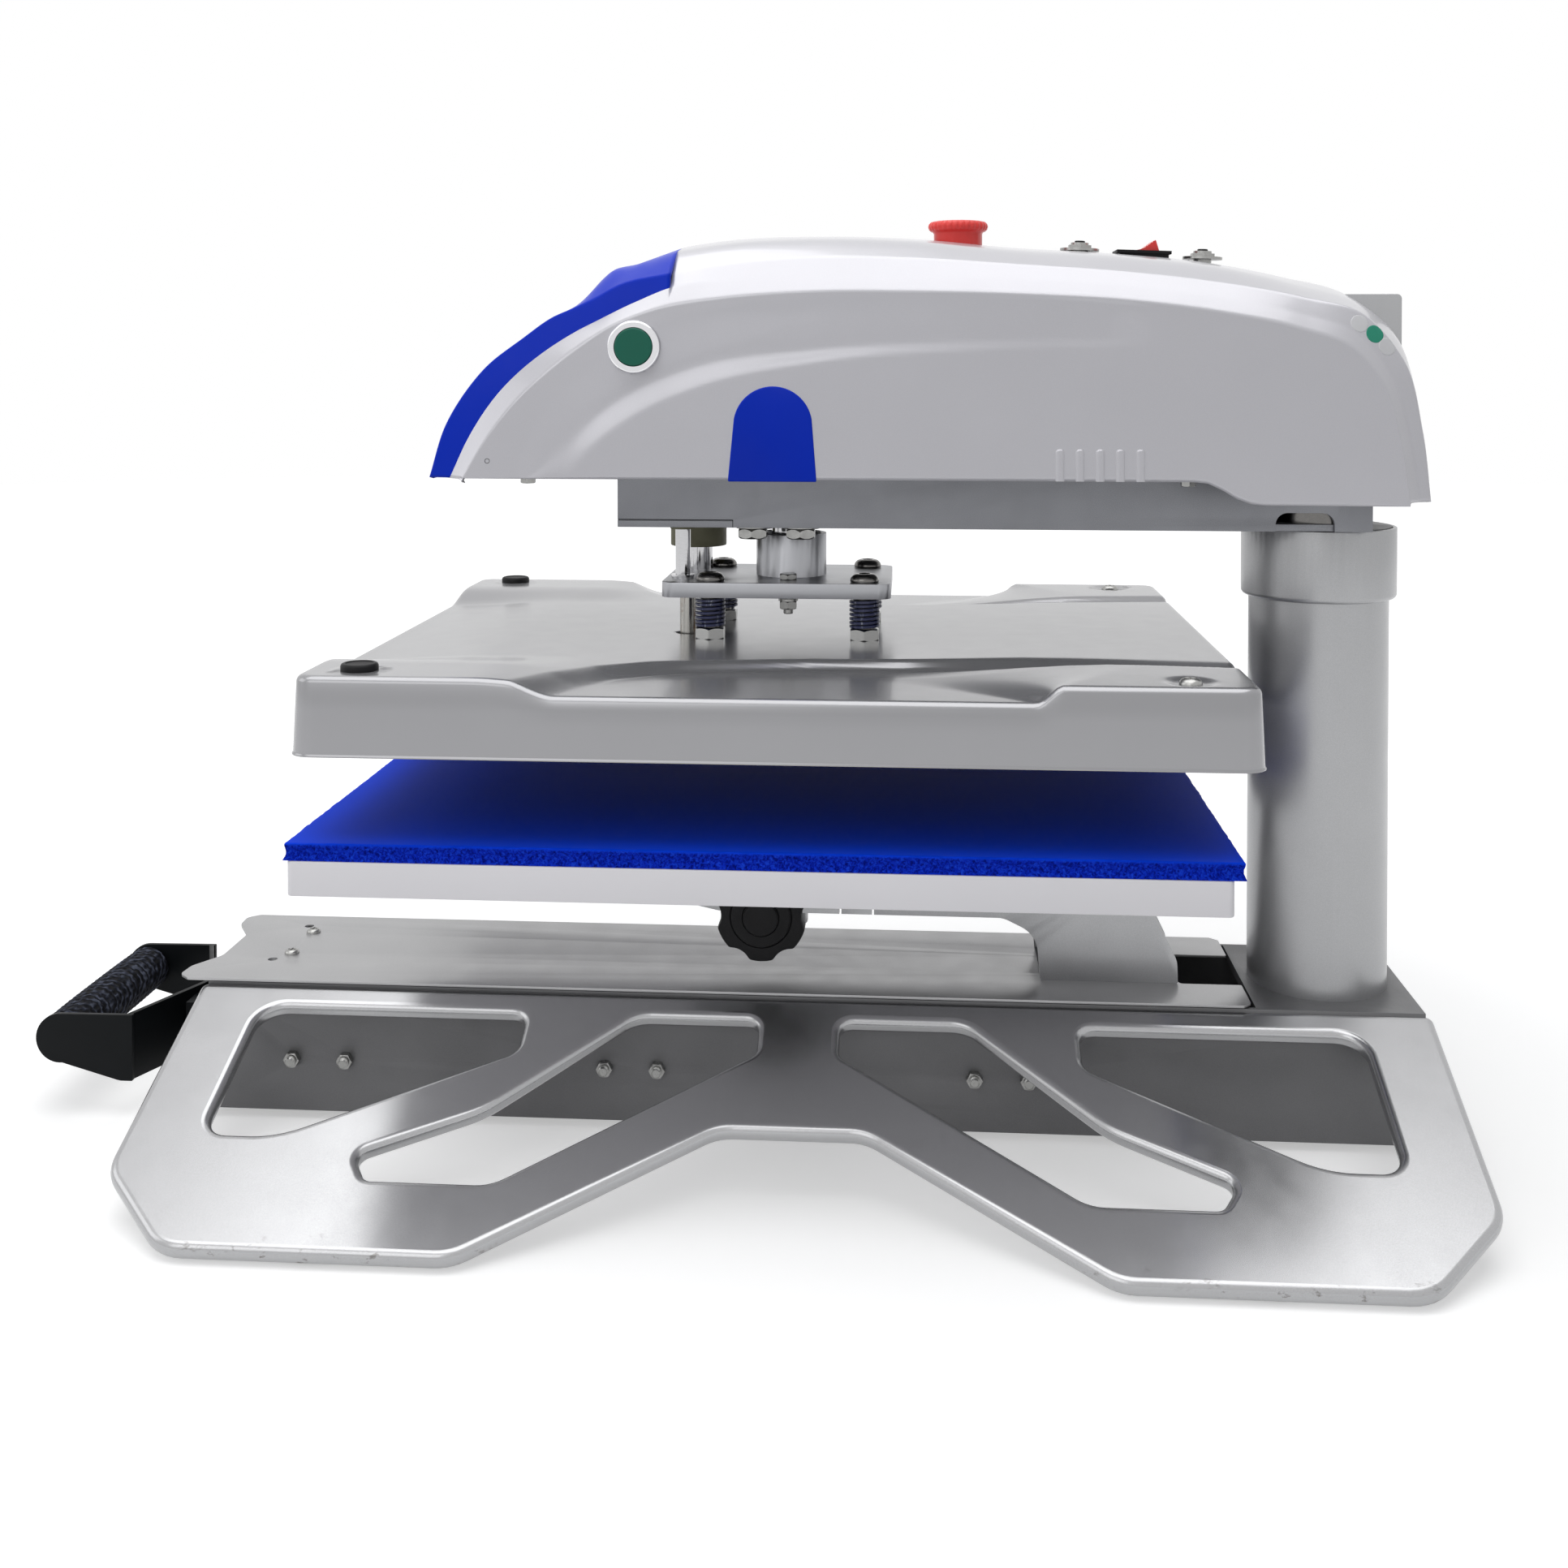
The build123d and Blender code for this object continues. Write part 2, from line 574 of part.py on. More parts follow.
def head_floor_plate():
    """Sheet that closes the cover's underside round the beam."""
    z = (COVER_BOTTOM_FRONT, COVER_BOTTOM_FRONT + FLOOR_SHEET)
    plate = block((-97, 97), (-140, 276), z)
    plate -= block((-BEAM_HALF, BEAM_HALF), (BEAM_Y[0], 900), z)
    for x, y in cover_screw_places():
        plate -= post(3, (300, 430), x, y)
    inner = cover_envelope(COVER_SKIN + 0.2)
    return plate & inner


def head_screws():
    """Hexagon bolts under the beam with washers, and the cover's screws."""
    solids = []
    under = BEAM_Z[0]
    for x in (-ACTUATOR_BOLT_X, ACTUATOR_BOLT_X):
        for y in ACTUATOR_BOLT_YS:
            bolt = hexagon(17, (under - 8, under - 1.6), x, y)
            bolt = chamfer(bolt.edges().group_by(Axis.Z)[0], 0.6)
            washer = post(10.5, (under - 1.6, under), x, y)
            solids.append(bolt + washer + post(5, (under, under + 11), x, y))
    for x, y in cover_screw_places():
        head = hexagon(8, (COVER_BOTTOM_FRONT - 4, COVER_BOTTOM_FRONT), x, y)
        solids.append(head + post(3, (COVER_BOTTOM_FRONT, COVER_BOTTOM_FRONT + 20), x, y))
    return solids


def actuator_body():
    """Housing of the press drive, bolted over the beam's floor."""
    seat = BEAM_Z[0] + BEAM_WALL
    body = block((-44, 44), (RAM_Y - 33, RAM_Y + 33), (seat, seat + 8))
    body += post(27, (seat + 8, 468), 0, RAM_Y)
    body -= post(RAM_R + RUNNING_GAP, (0, 458), 0, RAM_Y)
    for x in (-ACTUATOR_BOLT_X, ACTUATOR_BOLT_X):
        for y in ACTUATOR_BOLT_YS:
            body -= post(5, (300, 400), x, y)
    return body


def drive_motor():
    return fillet(post(29, (468, 522), 0, RAM_Y).edges().sort_by(Axis.Z)[-1], 3)


def guide_bushes():
    """Plastic bushes for the two guide rods, pressed into the beam's floor."""
    large = ring(18, GUIDE_R + RUNNING_GAP, (346, 382), GUIDE_X, GUIDE_Y)
    small = ring(8, SMALL_GUIDE_R + RUNNING_GAP, (361, 378), SMALL_GUIDE_X, SMALL_GUIDE_Y)
    return [large, small]


def terminal_box():
    z = (448, 504.7)
    box = block((-35, 35), TERMINAL_BOX_Y, z)
    box = fillet(box.edges().filter_by(Axis.X).group_by(Axis.Y)[-1], 3)
    inside_y = (TERMINAL_BOX_Y[0] - 1, TERMINAL_BOX_Y[1] - 1.6)
    box -= block((-33.4, 33.4), inside_y, (z[0] + 1.6, z[1] - 1.6))
    return box - block((-14, 14), (400, 410), (456, 480))


def power_inlet():
    """Three-pin appliance inlet in the rear box."""
    back = TERMINAL_BOX_Y[1]
    body = block((-14, 14), (back - 22, back), (456, 480))
    body += block((-17, 17), (back, back + 2), (452, 484))
    body -= block((-11.5, 11.5), (back - 16, back + 5), (458.5, 477.5))
    for x, z in ((-7, 465), (0, 471), (7, 465)):
        body += block((x - 1, x + 1), (back - 17, back - 3), (z - 2.5, z + 2.5))
    return body


def button_bezels():
    bezel = bar_x(15.2, (COVER_HALF, COVER_HALF + 3), BUTTON_Y, BUTTON_Z)
    bezel = fillet(bezel.edges().sort_by(Axis.X)[-1], 1.2)
    bezel += bar_x(13, (COVER_HALF - 26, COVER_HALF), BUTTON_Y, BUTTON_Z)
    bezel -= bar_x(11.3, (0, 200), BUTTON_Y, BUTTON_Z)
    bezel += bar_x(13, (COVER_HALF - 30, COVER_HALF - 26), BUTTON_Y, BUTTON_Z)
    return [bezel, mirrored(bezel)]


def start_button():
    button = bar_x(11, (COVER_HALF - 20, COVER_HALF + 3.6), BUTTON_Y, BUTTON_Z)
    return fillet(button.edges().sort_by(Axis.X)[-1], 1)


def estop_collar():
    """Collar clamped under the cover's skin, with the bore that guides the stem."""
    collar = ring(19, ESTOP_NECK_R + 0.4, (ESTOP_Z - 16, ESTOP_Z + 6), 0, ESTOP_Y)
    collar = collar & cover_envelope(COVER_SKIN + 0.05)
    return collar + ring(19, 8.3, (ESTOP_Z - 20, ESTOP_Z - 14), 0, ESTOP_Y)


def estop_stem():
    return post(8, (ESTOP_Z - 30, ESTOP_Z + 2), 0, ESTOP_Y)


def estop_cap():
    """Mushroom head that turns on its stem to release."""
    neck = post(ESTOP_NECK_R, (ESTOP_Z - 2, ESTOP_RIM_Z[0] + 1), 0, ESTOP_Y)
    rim = fillet(post(18.5, ESTOP_RIM_Z, 0, ESTOP_Y).edges(), 2.4)
    for k in range(24):
        angle = radians(15 * k)
        rim -= post(0.8, (530, 560), 18.9 * cos(angle), ESTOP_Y + 18.9 * sin(angle))
    return neck + rim - post(8.06, (0, ESTOP_Z + 2), 0, ESTOP_Y)


def rocker_frame():
    frame = Pos(0, 0, 1) * Box(26, 33, 2) + Pos(0, 0, -9) * Box(24, 30, 18)
    frame -= Pos(0, 0, -1) * Box(21.6, 25.6, 30)
    frame -= bar_x(ROCKER_PIN_R + RUNNING_GAP, (-11.6, 11.6), 0, 0)
    return top_place(ROCKER_Y, ROCKER_Z, TOP_SLOPE) * frame


def rocker_switch():
    """Rocker at rest with its rear end up, turning on a pin across the frame."""
    wedge = side_outline(
        [(-12, -0.5), (-11.6, 1.2), (0, 3.6), (6.9, 8.6), (9.8, 0.8), (8, -7), (-8, -7)],
        [0.4, 0.8, 4, 0.8, 1, 1, 1])
    rocker = side_prism(wedge, (-10.4, 10.4)) + bar_x(ROCKER_PIN_R, (-11.4, 11.4), 0, 0)
    return top_place(ROCKER_Y, ROCKER_Z, TOP_SLOPE) * rocker


def breaker_fittings():
    """Threaded barrel, nut and washer of each resettable breaker."""
    solids = []
    for y, z in BREAKERS:
        part = ring(12, 5.5, (0, 1.5)) + hexagon(13.5, (1.5, 3.6)) + post(5.5, (-22, 5.1))
        part -= post(3.4, (-12, 20))
        solids.append(top_place(y, z, TOP_SLOPE) * part)
    return solids


def breaker_button(y, z):
    button = fillet(post(3.2, (-8, 6.4)).edges().sort_by(Axis.Z)[-1], 0.5)
    return top_place(y, z, TOP_SLOPE) * button


# Press: flange, ram and guide rods
def platen_bolt_places():
    return [(x, y) for x in (-PLATEN_BOLT_X, PLATEN_BOLT_X) for y in PLATEN_BOLT_YS]


def flange_plate():
    """Pressure plate with the sleeve welded on its top."""
    plate = block((-FLANGE_HALF, FLANGE_HALF), FLANGE_Y, FLANGE_Z)
    plate = fillet(plate.edges().filter_by(Axis.Z), 8)
    for x, y in platen_bolt_places():
        plate -= post(5.3, (300, 350), x, y)
    plate += ring(SLEEVE_R, SLEEVE_R - 4, (FLANGE_Z[1], SLEEVE_TOP), 0, RAM_Y)
    return plate - post(3, (300, 350), SMALL_BOLT_X, RAM_Y)


def flange_fasteners():
    """Retaining disc under the flange and the small bolt beside the sleeve."""
    disc = post(20, (FLANGE_Z[0] - 2.5, FLANGE_Z[0]), 0, RAM_Y)
    bolt = hexagon(10, (FLANGE_Z[1], FLANGE_Z[1] + 4), SMALL_BOLT_X, RAM_Y)
    bolt += post(3, (FLANGE_Z[0] - 12, FLANGE_Z[1]), SMALL_BOLT_X, RAM_Y)
    bolt += hexagon(10, (FLANGE_Z[0] - 9, FLANGE_Z[0] - 4), SMALL_BOLT_X, RAM_Y)
    bolt += post(6, (FLANGE_Z[0] - 1.2, FLANGE_Z[0]), SMALL_BOLT_X, RAM_Y)
    return [disc, bolt]


def actuator_ram():
    return post(RAM_R, (FLANGE_Z[1], 450), 0, RAM_Y)


def guide_rods():
    large = post(GUIDE_R, (FLANGE_Z[1], 432), GUIDE_X, GUIDE_Y)
    small = post(SMALL_GUIDE_R, (FLANGE_Z[1], 432), SMALL_GUIDE_X, SMALL_GUIDE_Y)
    small += post(7.5, (FLANGE_Z[1], FLANGE_Z[1] + 1.6), SMALL_GUIDE_X, SMALL_GUIDE_Y)
    return [large, small]


def cable_tube():
    return ring(5, 3.8, (291.5, FLANGE_Z[0]), SMALL_GUIDE_X, SMALL_GUIDE_Y + 3)


# Upper platen
def drafted_box(half, y, z, draft, corner):
    """Box whose sides lean in towards the top, with rounded upright corners."""
    middle = (y[0] + y[1]) / 2
    length = y[1] - y[0]
    low = Plane((0, middle, z[0])) * RectangleRounded(2 * half, length, corner)
    high = Plane((0, middle, z[1])) * RectangleRounded(
        2 * (half - draft), length - 2 * draft, corner - draft / 2)
    return loft([low, high], ruled=True)


def upper_platen_cover():
    """Cast shell over the heating platen with raised corners and a lower middle."""
    shell = drafted_box(UPPER_HALF, UPPER_Y, (UPPER_BOTTOM, UPPER_TOP), UPPER_DRAFT, UPPER_CORNER)
    shell = fillet(shell.edges().group_by(Axis.Z)[-1], 5)
    inner_y = (UPPER_Y[0] + 3, UPPER_Y[1] - 3)
    inner_z = (UPPER_BOTTOM - 1, 288)
    shell -= drafted_box(UPPER_HALF - 3, inner_y, inner_z, UPPER_DRAFT, UPPER_CORNER - 3)
    shell -= block((-80, 80), (-190, 277), (286, PLATEAU_TOP - 3))
    shell -= block((-150, 150), (-150, 240), (PLATEAU_TOP, 320))
    shell -= block((-300, 300), RECESS_Y, (PLATEAU_TOP, 320))
    recess = block((90, 300), (RECESS_Y[0] + 6, RECESS_Y[1] - 6), (RECESS_TOP, 320))
    shell = shell - recess - mirrored(recess)
    for x, y in platen_bolt_places():
        shell -= post(5.5, (200, 350), x, y)
    return shell - post(8, (200, 350), SMALL_GUIDE_X, SMALL_GUIDE_Y + 3)


def heating_platen():
    middle = (UPPER_Y[0] + UPPER_Y[1]) / 2
    plate = block((-199, 199), (middle - 245, middle + 245), HEAT_Z)
    plate = fillet(plate.edges().filter_by(Axis.Z), 16)
    for x, y in platen_bolt_places():
        plate -= post(5, (HEAT_Z[0] + 5, 350), x, y)
    return plate


def insulation_board():
    middle = (UPPER_Y[0] + UPPER_Y[1]) / 2
    board = block((-180, 180), (middle - 225, middle + 225), (HEAT_Z[1], 286))
    for x, y in platen_bolt_places():
        board -= post(6, (200, 350), x, y)
    return board


def platen_bolts():
    """Button-head bolts that the upper platen hangs from."""
    solids = []
    for x, y in platen_bolt_places():
        head = post(8.75, (FLANGE_Z[1], FLANGE_Z[1] + 5.2), x, y)
        head = fillet(head.edges().sort_by(Axis.Z)[-1], 3.6)
        solids.append(head + post(5, (HEAT_Z[0] + 5, FLANGE_Z[1]), x, y))
    return solids


def platen_nuts():
    nuts = []
    for x, y in platen_bolt_places():
        nut = hexagon(17, (PLATEAU_TOP, PLATEAU_TOP + 7), x, y) - post(5, (200, 350), x, y)
        nuts.append(nut)
    return nuts


def platen_springs():
    span = (PLATEAU_TOP + 7, FLANGE_Z[0])
    return [ring(9.2, 5.6, span, x, y) for x, y in platen_bolt_places()]


def cover_fixing_places(y):
    return [(-COVER_FIXING_X, y), (COVER_FIXING_X, y)]


def cover_plugs():
    """Domed plugs over the front fixings of the upper cover."""
    plugs = []
    for x, y in cover_fixing_places(UPPER_Y[0] + 32.5):
        plug = post(10, (UPPER_TOP, UPPER_TOP + 4), x, y)
        plugs.append(fillet(plug.edges().sort_by(Axis.Z)[-1], 2.5))
    return plugs


def cover_rear_screws():
    screws = []
    for x, y in cover_fixing_places(UPPER_Y[1] - 36):
        head = post(6, (UPPER_TOP, UPPER_TOP + 3), x, y)
        screws.append(fillet(head.edges().sort_by(Axis.Z)[-1], 1.8))
    return screws


def build_base():
    right_wing = wing()
    save("wing_right", right_wing)
    save("wing_left", mirrored(right_wing))
    save("rubber_feet", *rubber_feet())
    save("base_channel", base_channel())
    save("wall_fasteners", *wall_fasteners())
    save("column_tube", column_tube())
    save("column_collar", column_collar())
    save("column_bearings", *column_bearings())


def build_drawer():
    outer, middle, inner = slide_members()
    save("slide_outers", outer, mirrored(outer))
    save("slide_middles", middle, mirrored(middle))
    save("slide_inners", inner, mirrored(inner))
    save("drawer_carrier", drawer_carrier())
    save("drawer_deck", drawer_deck())
    save("drawer_screws", *drawer_screws())
    save("handle_frame", handle_frame())
    save("handle_grip", handle_grip())
    save("platen_arm", platen_arm())
    save("platen_post", platen_post())
    save("lower_platen", lower_platen())
    save("silicone_pad", silicone_pad())
    save("clamp_stud", clamp_stud())
    save("clamp_knob", clamp_knob())


def build_head():
    cover, fascia, panel, display, inserts = head_shells()
    save("head_cover", cover)
    save("front_fascia", fascia)
    save("control_panel", panel)
    save("display_window", display)
    save("side_inserts", *inserts)
    save("head_floor_plate", head_floor_plate())
    save("arm_beam", arm_beam())
    save("pivot_shaft", pivot_shaft())
    save("head_screws", *head_screws())
    save("actuator_body", actuator_body())
    save("drive_motor", drive_motor())
    save("guide_bushes", *guide_bushes())
    save("terminal_box", terminal_box())
    save("power_inlet", power_inlet())
    save("button_bezels", *button_bezels())
    save("estop_collar", estop_collar())
    save("rocker_frame", rocker_frame())
    save("breaker_fittings", *breaker_fittings())


def build_controls():
    button = start_button()
    save("start_button_right", button)
    save("start_button_left", mirrored(button))
    save("estop_stem", estop_stem())
    save("estop_cap", estop_cap())
    save("rocker_switch", rocker_switch())
    save("breaker_button_front", breaker_button(*BREAKERS[0]))
    save("breaker_button_rear", breaker_button(*BREAKERS[1]))


def build_press():
    save("flange_plate", flange_plate())
    save("flange_fasteners", *flange_fasteners())
    save("actuator_ram", actuator_ram())
    save("guide_rods", *guide_rods())
    save("cable_tube", cable_tube())
    save("upper_platen_cover", upper_platen_cover())
    save("heating_platen", heating_platen())
    save("insulation_board", insulation_board())
    save("platen_bolts", *platen_bolts())
    save("platen_nuts", *platen_nuts())
    save("platen_springs", *platen_springs())
    save("cover_plugs", *cover_plugs())
    save("cover_rear_screws", *cover_rear_screws())


os.makedirs("parts", exist_ok=True)
build_base()
build_drawer()
build_head()
build_controls()
build_press()
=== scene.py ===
# Looks of the swing-away heat press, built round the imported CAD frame.
# Shapes are in millimetres in the part's frame and turn into metres where their mesh is made.
# The camera, the lamps, the floor and the materials are in metres.
import bmesh
import bpy
import json
import numpy as np
from contextlib import contextmanager
from math import cos, pi, radians, sin, sqrt
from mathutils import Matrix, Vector
from mathutils.bvhtree import BVHTree


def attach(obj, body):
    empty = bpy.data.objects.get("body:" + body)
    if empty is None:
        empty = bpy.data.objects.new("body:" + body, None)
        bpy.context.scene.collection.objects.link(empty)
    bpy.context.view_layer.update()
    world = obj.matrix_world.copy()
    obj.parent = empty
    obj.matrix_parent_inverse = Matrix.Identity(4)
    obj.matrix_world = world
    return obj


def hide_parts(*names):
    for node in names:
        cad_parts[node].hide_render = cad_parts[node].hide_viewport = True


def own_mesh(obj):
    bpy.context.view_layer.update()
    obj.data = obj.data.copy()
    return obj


MM = 0.001
PLATEN_Y = 36.0            # the outline tables below count Y from the platen's middle
RAM_Y = 41.0
FLANGE_FOOT, FLANGE_TOP = 322.0, 331.0
BEAM_FOOT, HEAD_FOOT = 364.5, 397.0
CHANNEL_HALF = 57.0

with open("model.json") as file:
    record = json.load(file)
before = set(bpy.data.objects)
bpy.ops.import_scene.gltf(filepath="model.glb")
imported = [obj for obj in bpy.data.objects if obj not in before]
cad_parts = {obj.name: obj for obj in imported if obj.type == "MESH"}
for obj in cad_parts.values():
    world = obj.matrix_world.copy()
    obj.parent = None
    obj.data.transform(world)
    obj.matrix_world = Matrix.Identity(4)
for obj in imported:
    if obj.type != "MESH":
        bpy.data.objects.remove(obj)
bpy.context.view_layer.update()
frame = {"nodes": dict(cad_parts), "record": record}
nodes = frame["nodes"]


def link(name, data):
    """New object in the scene."""
    made = bpy.data.objects.new(name, data)
    bpy.context.scene.collection.objects.link(made)
    return made


# Camera
def add_camera():
    data = bpy.data.cameras.new("camera")
    data.lens = 39.81
    data.sensor_width = 36.0
    data.shift_y = -0.2521
    camera = link("camera", data)
    camera.location = (1.087, 0.1163, 0.4664)
    camera.rotation_euler = (radians(89), 0, radians(94.21))
    bpy.context.scene.camera = camera


# Materials
class Graph:
    """Node tree of a material or of the world."""

    def __init__(self, owner):
        owner.use_nodes = True
        self.tree = owner.node_tree
        self.tree.nodes.clear()

    def add(self, kind, **values):
        node = self.tree.nodes.new("ShaderNode" + kind)
        for key, value in values.items():
            node.inputs[key.replace("_", " ")].default_value = value
        return node

    def fill(self, socket, value):
        """Sets a socket to a number or a colour, or links it to another node's output."""
        if isinstance(value, (int, float)):
            socket.default_value = value
        elif isinstance(value, tuple):
            socket.default_value = (*value, 1.0)
        else:
            self.tree.links.new(value, socket)

    def math(self, kind, a, b):
        node = self.add("Math")
        node.operation = kind
        self.fill(node.inputs[0], a)
        self.fill(node.inputs[1], b)
        return node.outputs[0]

    def seen_rays(self):
        """1 for the rays that show a background: the camera's, glossy and transmission rays."""
        path = self.add("LightPath").outputs
        seen = self.math("MAXIMUM", path["Is Camera Ray"], path["Is Glossy Ray"])
        return self.math("MAXIMUM", seen, path["Is Transmission Ray"])


class Tree(Graph):
    """Material with one Principled shader, textured in object coordinates."""

    def __init__(self, name, **values):
        self.material = bpy.data.materials.new(name)
        super().__init__(self.material)
        self.shader = self.add("BsdfPrincipled", **values)
        self.coords = self.add("TexCoord").outputs["Object"]
        self.fill(self.add("OutputMaterial").inputs[0], self.shader.outputs[0])

    def texture(self, kind, stretch=(1, 1, 1), **values):
        mapping = self.add("Mapping", Scale=stretch)
        node = self.add(kind, **values)
        self.fill(mapping.inputs["Vector"], self.coords)
        self.fill(node.inputs["Vector"], mapping.outputs[0])
        return node

    def noise(self, scale, detail=3.0, stretch=(1, 1, 1), rough=0.5, distort=0.0):
        return self.texture("TexNoise", stretch, Scale=scale, Detail=detail, Roughness=rough,
                            Distortion=distort).outputs["Fac"]

    def height(self):
        """Height above the floor."""
        split = self.add("SeparateXYZ")
        self.fill(split.inputs[0], self.coords)
        return split.outputs[2]

    def spread(self, value, low, high, out_low=0.0, out_high=1.0):
        node = self.add("MapRange")
        for socket, number in zip(node.inputs, (value, low, high, out_low, out_high)):
            self.fill(socket, number)
        return node.outputs[0]

    def ramp(self, value, stops):
        node = self.add("ValToRGB")
        elements = node.color_ramp.elements
        while len(elements) < len(stops):
            elements.new(0.5)
        for element, (place, color) in zip(elements, stops):
            element.position = place
            element.color = (*color, 1.0)
        self.fill(node.inputs[0], value)
        return node.outputs[0]

    def mix(self, factor, one, two):
        node = self.add("Mix")
        node.data_type = "RGBA"
        for name, value in (("Factor", factor), ("A", one), ("B", two)):
            self.fill(next(s for s in node.inputs if s.name == name and s.enabled), value)
        return next(s for s in node.outputs if s.enabled)

    def feed(self, socket, value):
        self.fill(self.shader.inputs[socket], value)

    def bump(self, height, strength, distance):
        node = self.add("Bump", Strength=strength, Distance=distance)
        self.fill(node.inputs["Height"], height)
        self.feed("Normal", node.outputs[0])


def shade(color, factor):
    return tuple(min(1.0, c * factor) for c in color)


def drift(tree, color, scale, vary):
    """Colour that changes slowly over the surface."""
    clouds = tree.spread(tree.noise(scale, 4.0), 0.3, 0.7)
    return tree.mix(clouds, shade(color, 1 - vary), shade(color, 1 + vary))


def paint(name, color, rough, metal=0.0, coat=0.0, coat_rough=0.1, vary=0.05, vary_scale=18.0,
          flake=0.0, peel=0.0, peel_scale=350.0, specular=0.5, rough_vary=0.05, worn=False):
    """Sprayed or moulded surface: slow colour drift, optional metal flake, orange peel and scuffed feet."""
    tree = Tree(name, Metallic=metal, Coat_Weight=coat, Coat_Roughness=coat_rough,
                Specular_IOR_Level=specular)
    base = drift(tree, color, vary_scale, vary)
    if flake:
        spots = tree.spread(tree.noise(2600.0, 1.0), 0.35, 0.7)
        base = tree.mix(tree.math("MULTIPLY", spots, flake), base, shade(color, 1.5))
    if worn:
        base = tree.mix(scuffs(tree), base, (0.10, 0.085, 0.07))
    tree.feed("Base Color", base)
    patches = tree.noise(60.0, 3.0)
    tree.feed("Roughness", tree.spread(patches, 0.3, 0.7, rough - rough_vary, rough + rough_vary))
    if peel:
        tree.bump(tree.noise(peel_scale, 2.0), peel, 0.0004)
    return tree.material


def scuffs(tree):
    """Small rubbed spots, only within a centimetre or so of the floor."""
    low = tree.spread(tree.height(), 0.004, 0.016, 1.0, 0.0)
    spots = tree.spread(tree.noise(170.0, 4.0, (1, 0.5, 1), 0.7), 0.60, 0.68)
    return tree.math("MULTIPLY", low, spots)


def metal_sheet(name, color, rough, depth, vary, grain=(1, 1, 1), scale=300, anisotropic=0.0):
    """Bare or plated metal with a drawn grain."""
    tree = Tree(name, Metallic=1.0, Anisotropic=anisotropic)
    lines = tree.noise(scale, 5.0, grain, 0.65)
    base = drift(tree, color, 14.0, vary)
    base = tree.mix(tree.spread(lines, 0.35, 0.75, 0.0, 0.35), base, shade(color, 0.8))
    tree.feed("Base Color", base)
    tree.feed("Roughness", tree.spread(lines, 0.3, 0.7, rough * 0.8, rough * 1.25))
    tree.bump(lines, depth, 0.0003)
    return tree.material


